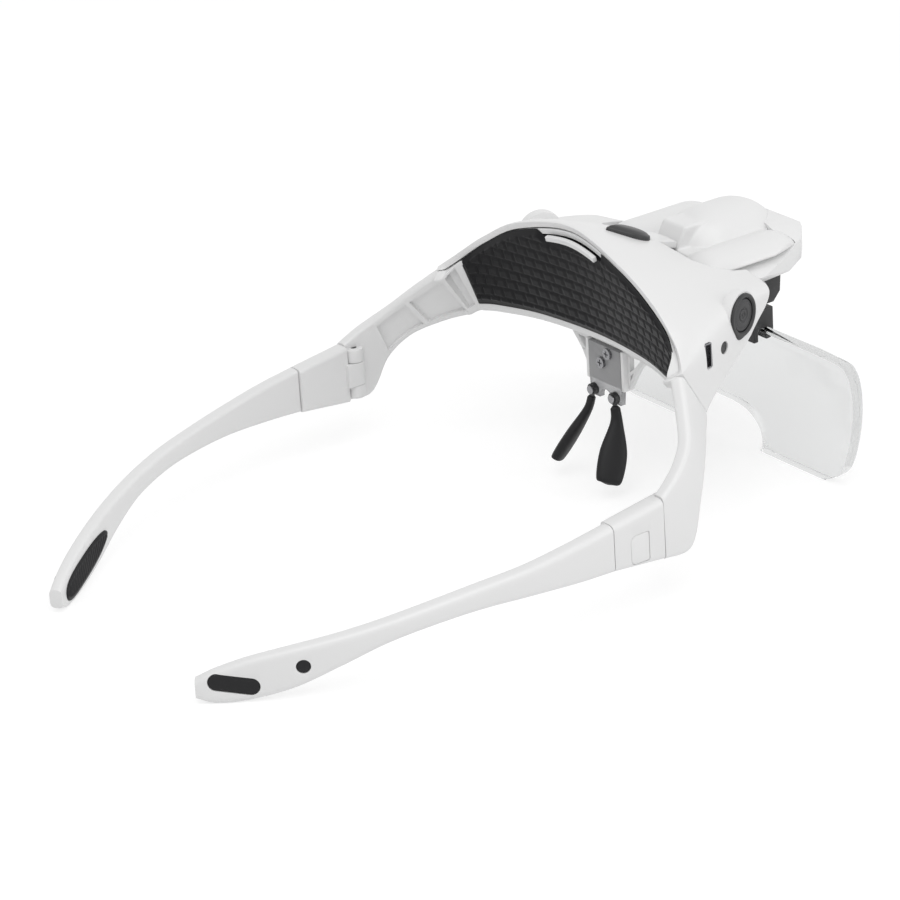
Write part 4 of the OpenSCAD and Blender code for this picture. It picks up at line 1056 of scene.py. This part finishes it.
def top_key():
    """A drop with a rounded rim and a domed face."""
    rings = []
    for inset, z in ((0, 0), (0, TOP_THICK - 0.45), (0.15, TOP_THICK - 0.15), (0.5, TOP_THICK),
                     (1.2, TOP_THICK + TOP_CROWN * 0.5), (2.4, TOP_THICK + TOP_CROWN * 0.85),
                     (3.4, TOP_THICK + TOP_CROWN)):
        outline = drop_outline(TOP_LONG - 2.2 * inset, TOP_WIDE - 2 * inset)
        rings.append([(x, y, z - TOP_SUNK) for x, y in outline])
    points, faces = loft(rings)
    key = make("top_key_drop", moved(points, aim(TOP_PLACE, TOP_OUT)), faces, BLACK)
    smooth(key, 45)
    finish(key, "top_key", "top_button")


def side_key(side, word):
    points, faces = turned(KEY_PROFILE)
    key = make(f"side_key_{word}", on_side(side, moved(points, aim(KNOB, KNOB_OUT))), faces, DISC)
    smooth(key, 30)
    finish(key, f"key_{word}", f"side_button_{word}")


def side_bezel(side, word):
    """A ring whose raised rim runs out to a soft tip."""
    rings = []
    for radius, height in BEZEL_PROFILE:
        ring = []
        for a in np.linspace(0, 2 * math.pi, 96, False):
            off = (a - TIP_TURN + math.pi) % (2 * math.pi) - math.pi
            tip = TIP_LONG * math.exp(-(off / TIP_SPREAD) ** 2) if radius > 5.5 and height > 0 else 0
            ring.append(((radius + tip) * math.cos(a), (radius + tip) * math.sin(a), height))
        rings.append(ring)
    points, faces = loft(rings + [rings[0]], closed=False)
    points = on_side(side, moved(points, aim(KNOB, KNOB_OUT)))
    bezel = make(f"side_bezel_tipped_{word}", points, faces, BLACK)
    smooth(bezel, 35)
    finish(bezel, "main", f"side_bezel_{word}")


# Pieces that keep the shape of their solid
def copy_of(name, ending, material):
    piece = bpy.data.objects.new(f"{name}_{ending}", nodes[name].data.copy())
    scene.collection.objects.link(piece)
    piece.data.materials.clear()
    piece.data.materials.append(material)
    return piece


def dress(name, material, width):
    """Rounds the edges of a solid's copy."""
    piece = copy_of(name, "finished", material)
    tidy = bmesh.new()
    tidy.from_mesh(piece.data)
    bmesh.ops.remove_doubles(tidy, verts=tidy.verts, dist=0.001 * MM)
    bmesh.ops.dissolve_limit(tidy, angle_limit=math.radians(1), verts=tidy.verts, edges=tidy.edges)
    tidy.to_mesh(piece.data)
    tidy.free()
    soften(piece, width)
    finish(piece, nodes[name]["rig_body"], name)


def melt(name, material, voxel, turns, swell):
    """Remeshes a solid's copy and eases its surface, so that its forms run into each other as moulded ones
    do, then swells it by what the easing took away."""
    piece = copy_of(name, "eased", material)
    even = piece.modifiers.new("even", "REMESH")
    even.mode = "VOXEL"
    even.voxel_size = voxel * MM
    easing = piece.modifiers.new("ease", "SMOOTH")
    easing.factor = 0.5
    easing.iterations = turns
    swelling = piece.modifiers.new("swell", "DISPLACE")
    swelling.strength = swell * MM
    swelling.mid_level = 0
    settle(piece)
    piece.data.materials.clear()
    piece.data.materials.append(material)
    smooth(piece, 70)
    finish(piece, nodes[name]["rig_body"], name)


# Solids that are shown as they are, with a better material
SHOWN = {
    "nose_screws": STEEL, "nose_arm_left": BLACK, "nose_arm_right": BLACK, "circuit_board": BOARD,
    "push_switches": STEEL, "charge_port": STEEL, "port_board": BOARD, "indicator_light": BLACK,
    "cover_screws": STEEL, "bracket_screws": STEEL, "lens_pin": STEEL, "pod_pin": STEEL,
    "battery_cell": FOIL, "led_board": BOARD, "leds": LAMP, "lamp_window": LENS, "pod_wires": WIRE,
    "hinge_pin_left": STEEL, "hinge_pin_right": STEEL, "release_springs_left": STEEL,
    "release_springs_right": STEEL,
}

# Lens plate: half of its outline, as X and Z from the holder round to the nose cut-out
LENS_HALF = [
    [15.6, 39.2], [40, 39.2], [52, 38.6], [55.4, 37], [57.2, 33.5], [58, 27], [57.4, 19.5],
    [55.4, 11.5], [53.4, 6.6], [50.6, 3], [46.5, 0.8], [42, 0], [18.2, 0], [17.2, 1.2], [17.4, 4],
    [16.4, 7.2], [13.6, 10.2], [9.4, 12.2], [4, 13],
]
LENS_TAB = (15.6, 43.2)
LENS_FRONT = -99.7
LENS_REAR = -95.7


def eased_outline(points, steps=4):
    """Curves through the points, except along the long straight stretches."""
    points = np.array(points, float)
    out = []
    for i in range(len(points) - 1):
        before = points[max(i - 1, 0)]
        after = points[min(i + 2, len(points) - 1)]
        a = points[i]
        b = points[i + 1]
        straight = np.linalg.norm(b - a) > 11
        for u in np.linspace(0, 1, steps, False):
            out.append(mix(a, b, u) if straight else cubic(before, a, b, after, u))
    out.append(points[-1])
    return out


def lens_plate():
    half = [LENS_TAB] + [tuple(p) for p in eased_outline(LENS_HALF)]
    outline = half + [(-x, z) for x, z in reversed(half)]
    plate = make("lens_clear", *upright(outline, LENS_FRONT, LENS_REAR), LENS)
    soften(plate, 0.35, 30)
    finish(plate, "lens", "lens_plate")


band()
for side, word in SIDES:
    hinge_ear(side, word, KNUCKLE_LOW - EAR_HIGH, "low")
    hinge_ear(side, word, KNUCKLE_TOP, "top")
nose_web()
for side, word in SIDES:
    nose_rail(side, word)
brow_shelf()
for x, word in POD_EARS:
    pod_ear(x, word)
brow_shell()
forehead_pad()
for side, word in SIDES:
    temple_arm(side, word)
    ear_pad(side, word)
    ear_plugs(side, word)
    hinge_block(side, word)
    release_key(side, word)
for side, word in SIDES:
    nose_pad(side, word)
top_key()
for side, word in SIDES:
    side_key(side, word)
    side_bezel(side, word)
melt("pod_cover", WHITE, 0.35, 14, 0.28)
dress("pod_base", WHITE, 0.5)
dress("pad_clip", WHITE, 0.25)
dress("nose_plate", SMOKE, 0.25)
dress("lens_bracket", BLACK, 0.5)
dress("lens_holder", BLACK, 0.4)
dress("pod_hinge", BLACK, 0.3)
for name, material in SHOWN.items():
    nodes[name].data.materials.clear()
    nodes[name].data.materials.append(material)
lens_plate()


# Floor, backdrop and light
def seen_directly(tree):
    """1 for rays from the camera and for mirrored and refracted ones, 0 for rays that only light the part."""
    path = tree.nodes.new("ShaderNodeLightPath")
    seen = tree.nodes.new("ShaderNodeMath")
    seen.operation = "MAXIMUM"
    tree.links.new(path.outputs["Is Camera Ray"], seen.inputs[0])
    tree.links.new(path.outputs["Is Glossy Ray"], seen.inputs[1])
    seen_too = tree.nodes.new("ShaderNodeMath")
    seen_too.operation = "MAXIMUM"
    tree.links.new(seen.outputs[0], seen_too.inputs[0])
    tree.links.new(path.outputs["Is Transmission Ray"], seen_too.inputs[1])
    return seen_too.outputs[0]


def floor_surface():
    """A white table: it glows a little where it is seen, so that only the part's shadow is grey."""
    made, tree, shader = principled("studio_floor")
    shader.inputs["Roughness"].default_value = 0.9
    shader.inputs["Specular IOR Level"].default_value = 0.0
    shader.inputs["Base Color"].default_value = (0.9, 0.9, 0.9, 1)
    glow = tree.nodes.new("ShaderNodeEmission")
    glow.inputs["Strength"].default_value = 0.72
    dim = tree.nodes.new("ShaderNodeBsdfDiffuse")
    dim.inputs["Color"].default_value = (0.34, 0.34, 0.34, 1)
    both = tree.nodes.new("ShaderNodeAddShader")
    tree.links.new(glow.outputs[0], both.inputs[0])
    tree.links.new(dim.outputs[0], both.inputs[1])
    pick = tree.nodes.new("ShaderNodeMixShader")
    tree.links.new(seen_directly(tree), pick.inputs["Fac"])
    tree.links.new(shader.outputs[0], pick.inputs[1])
    tree.links.new(both.outputs[0], pick.inputs[2])
    tree.links.new(pick.outputs[0], tree.nodes["Material Output"].inputs["Surface"])
    return made


def backdrop():
    """White where it is seen, and dimmer as a light."""
    world = bpy.data.worlds.new("studio")
    scene.world = world
    world.use_nodes = True
    tree = world.node_tree
    base = tree.nodes["Background"]
    base.inputs["Color"].default_value = (1, 1, 1, 1)
    base.inputs["Strength"].default_value = 0.62
    shown = tree.nodes.new("ShaderNodeBackground")
    shown.inputs["Color"].default_value = (1, 1, 1, 1)
    shown.inputs["Strength"].default_value = 1.0
    pick = tree.nodes.new("ShaderNodeMixShader")
    tree.links.new(seen_directly(tree), pick.inputs["Fac"])
    tree.links.new(base.outputs[0], pick.inputs[1])
    tree.links.new(shown.outputs[0], pick.inputs[2])
    tree.links.new(pick.outputs[0], tree.nodes["World Output"].inputs["Surface"])


def softbox(name, place, size, power):
    """A square light, turned to the part."""
    light = bpy.data.lights.new(name, "AREA")
    light.shape = "RECTANGLE"
    light.size = size
    light.size_y = size
    light.energy = power
    lamp = bpy.data.objects.new(name, light)
    lamp.location = place
    way = Vector(LIT_PLACE) - Vector(place)
    lamp.rotation_euler = way.to_track_quat("-Z", "Y").to_euler()
    scene.collection.objects.link(lamp)


FLOOR_HALF = 4000
FLOOR_Z = -0.02
LIT_PLACE = (0, -0.02, 0.04)
corners = [(x * FLOOR_HALF, y * FLOOR_HALF, FLOOR_Z) for x, y in ((-1, -1), (1, -1), (1, 1), (-1, 1))]
floor = make("studio_floor", corners, [(0, 1, 2, 3)], floor_surface())
backdrop()
softbox("key", (-0.5, 0.3, 1.3), 1.2, 9)
softbox("fill", (-1.2, -0.9, 0.7), 1.0, 4)
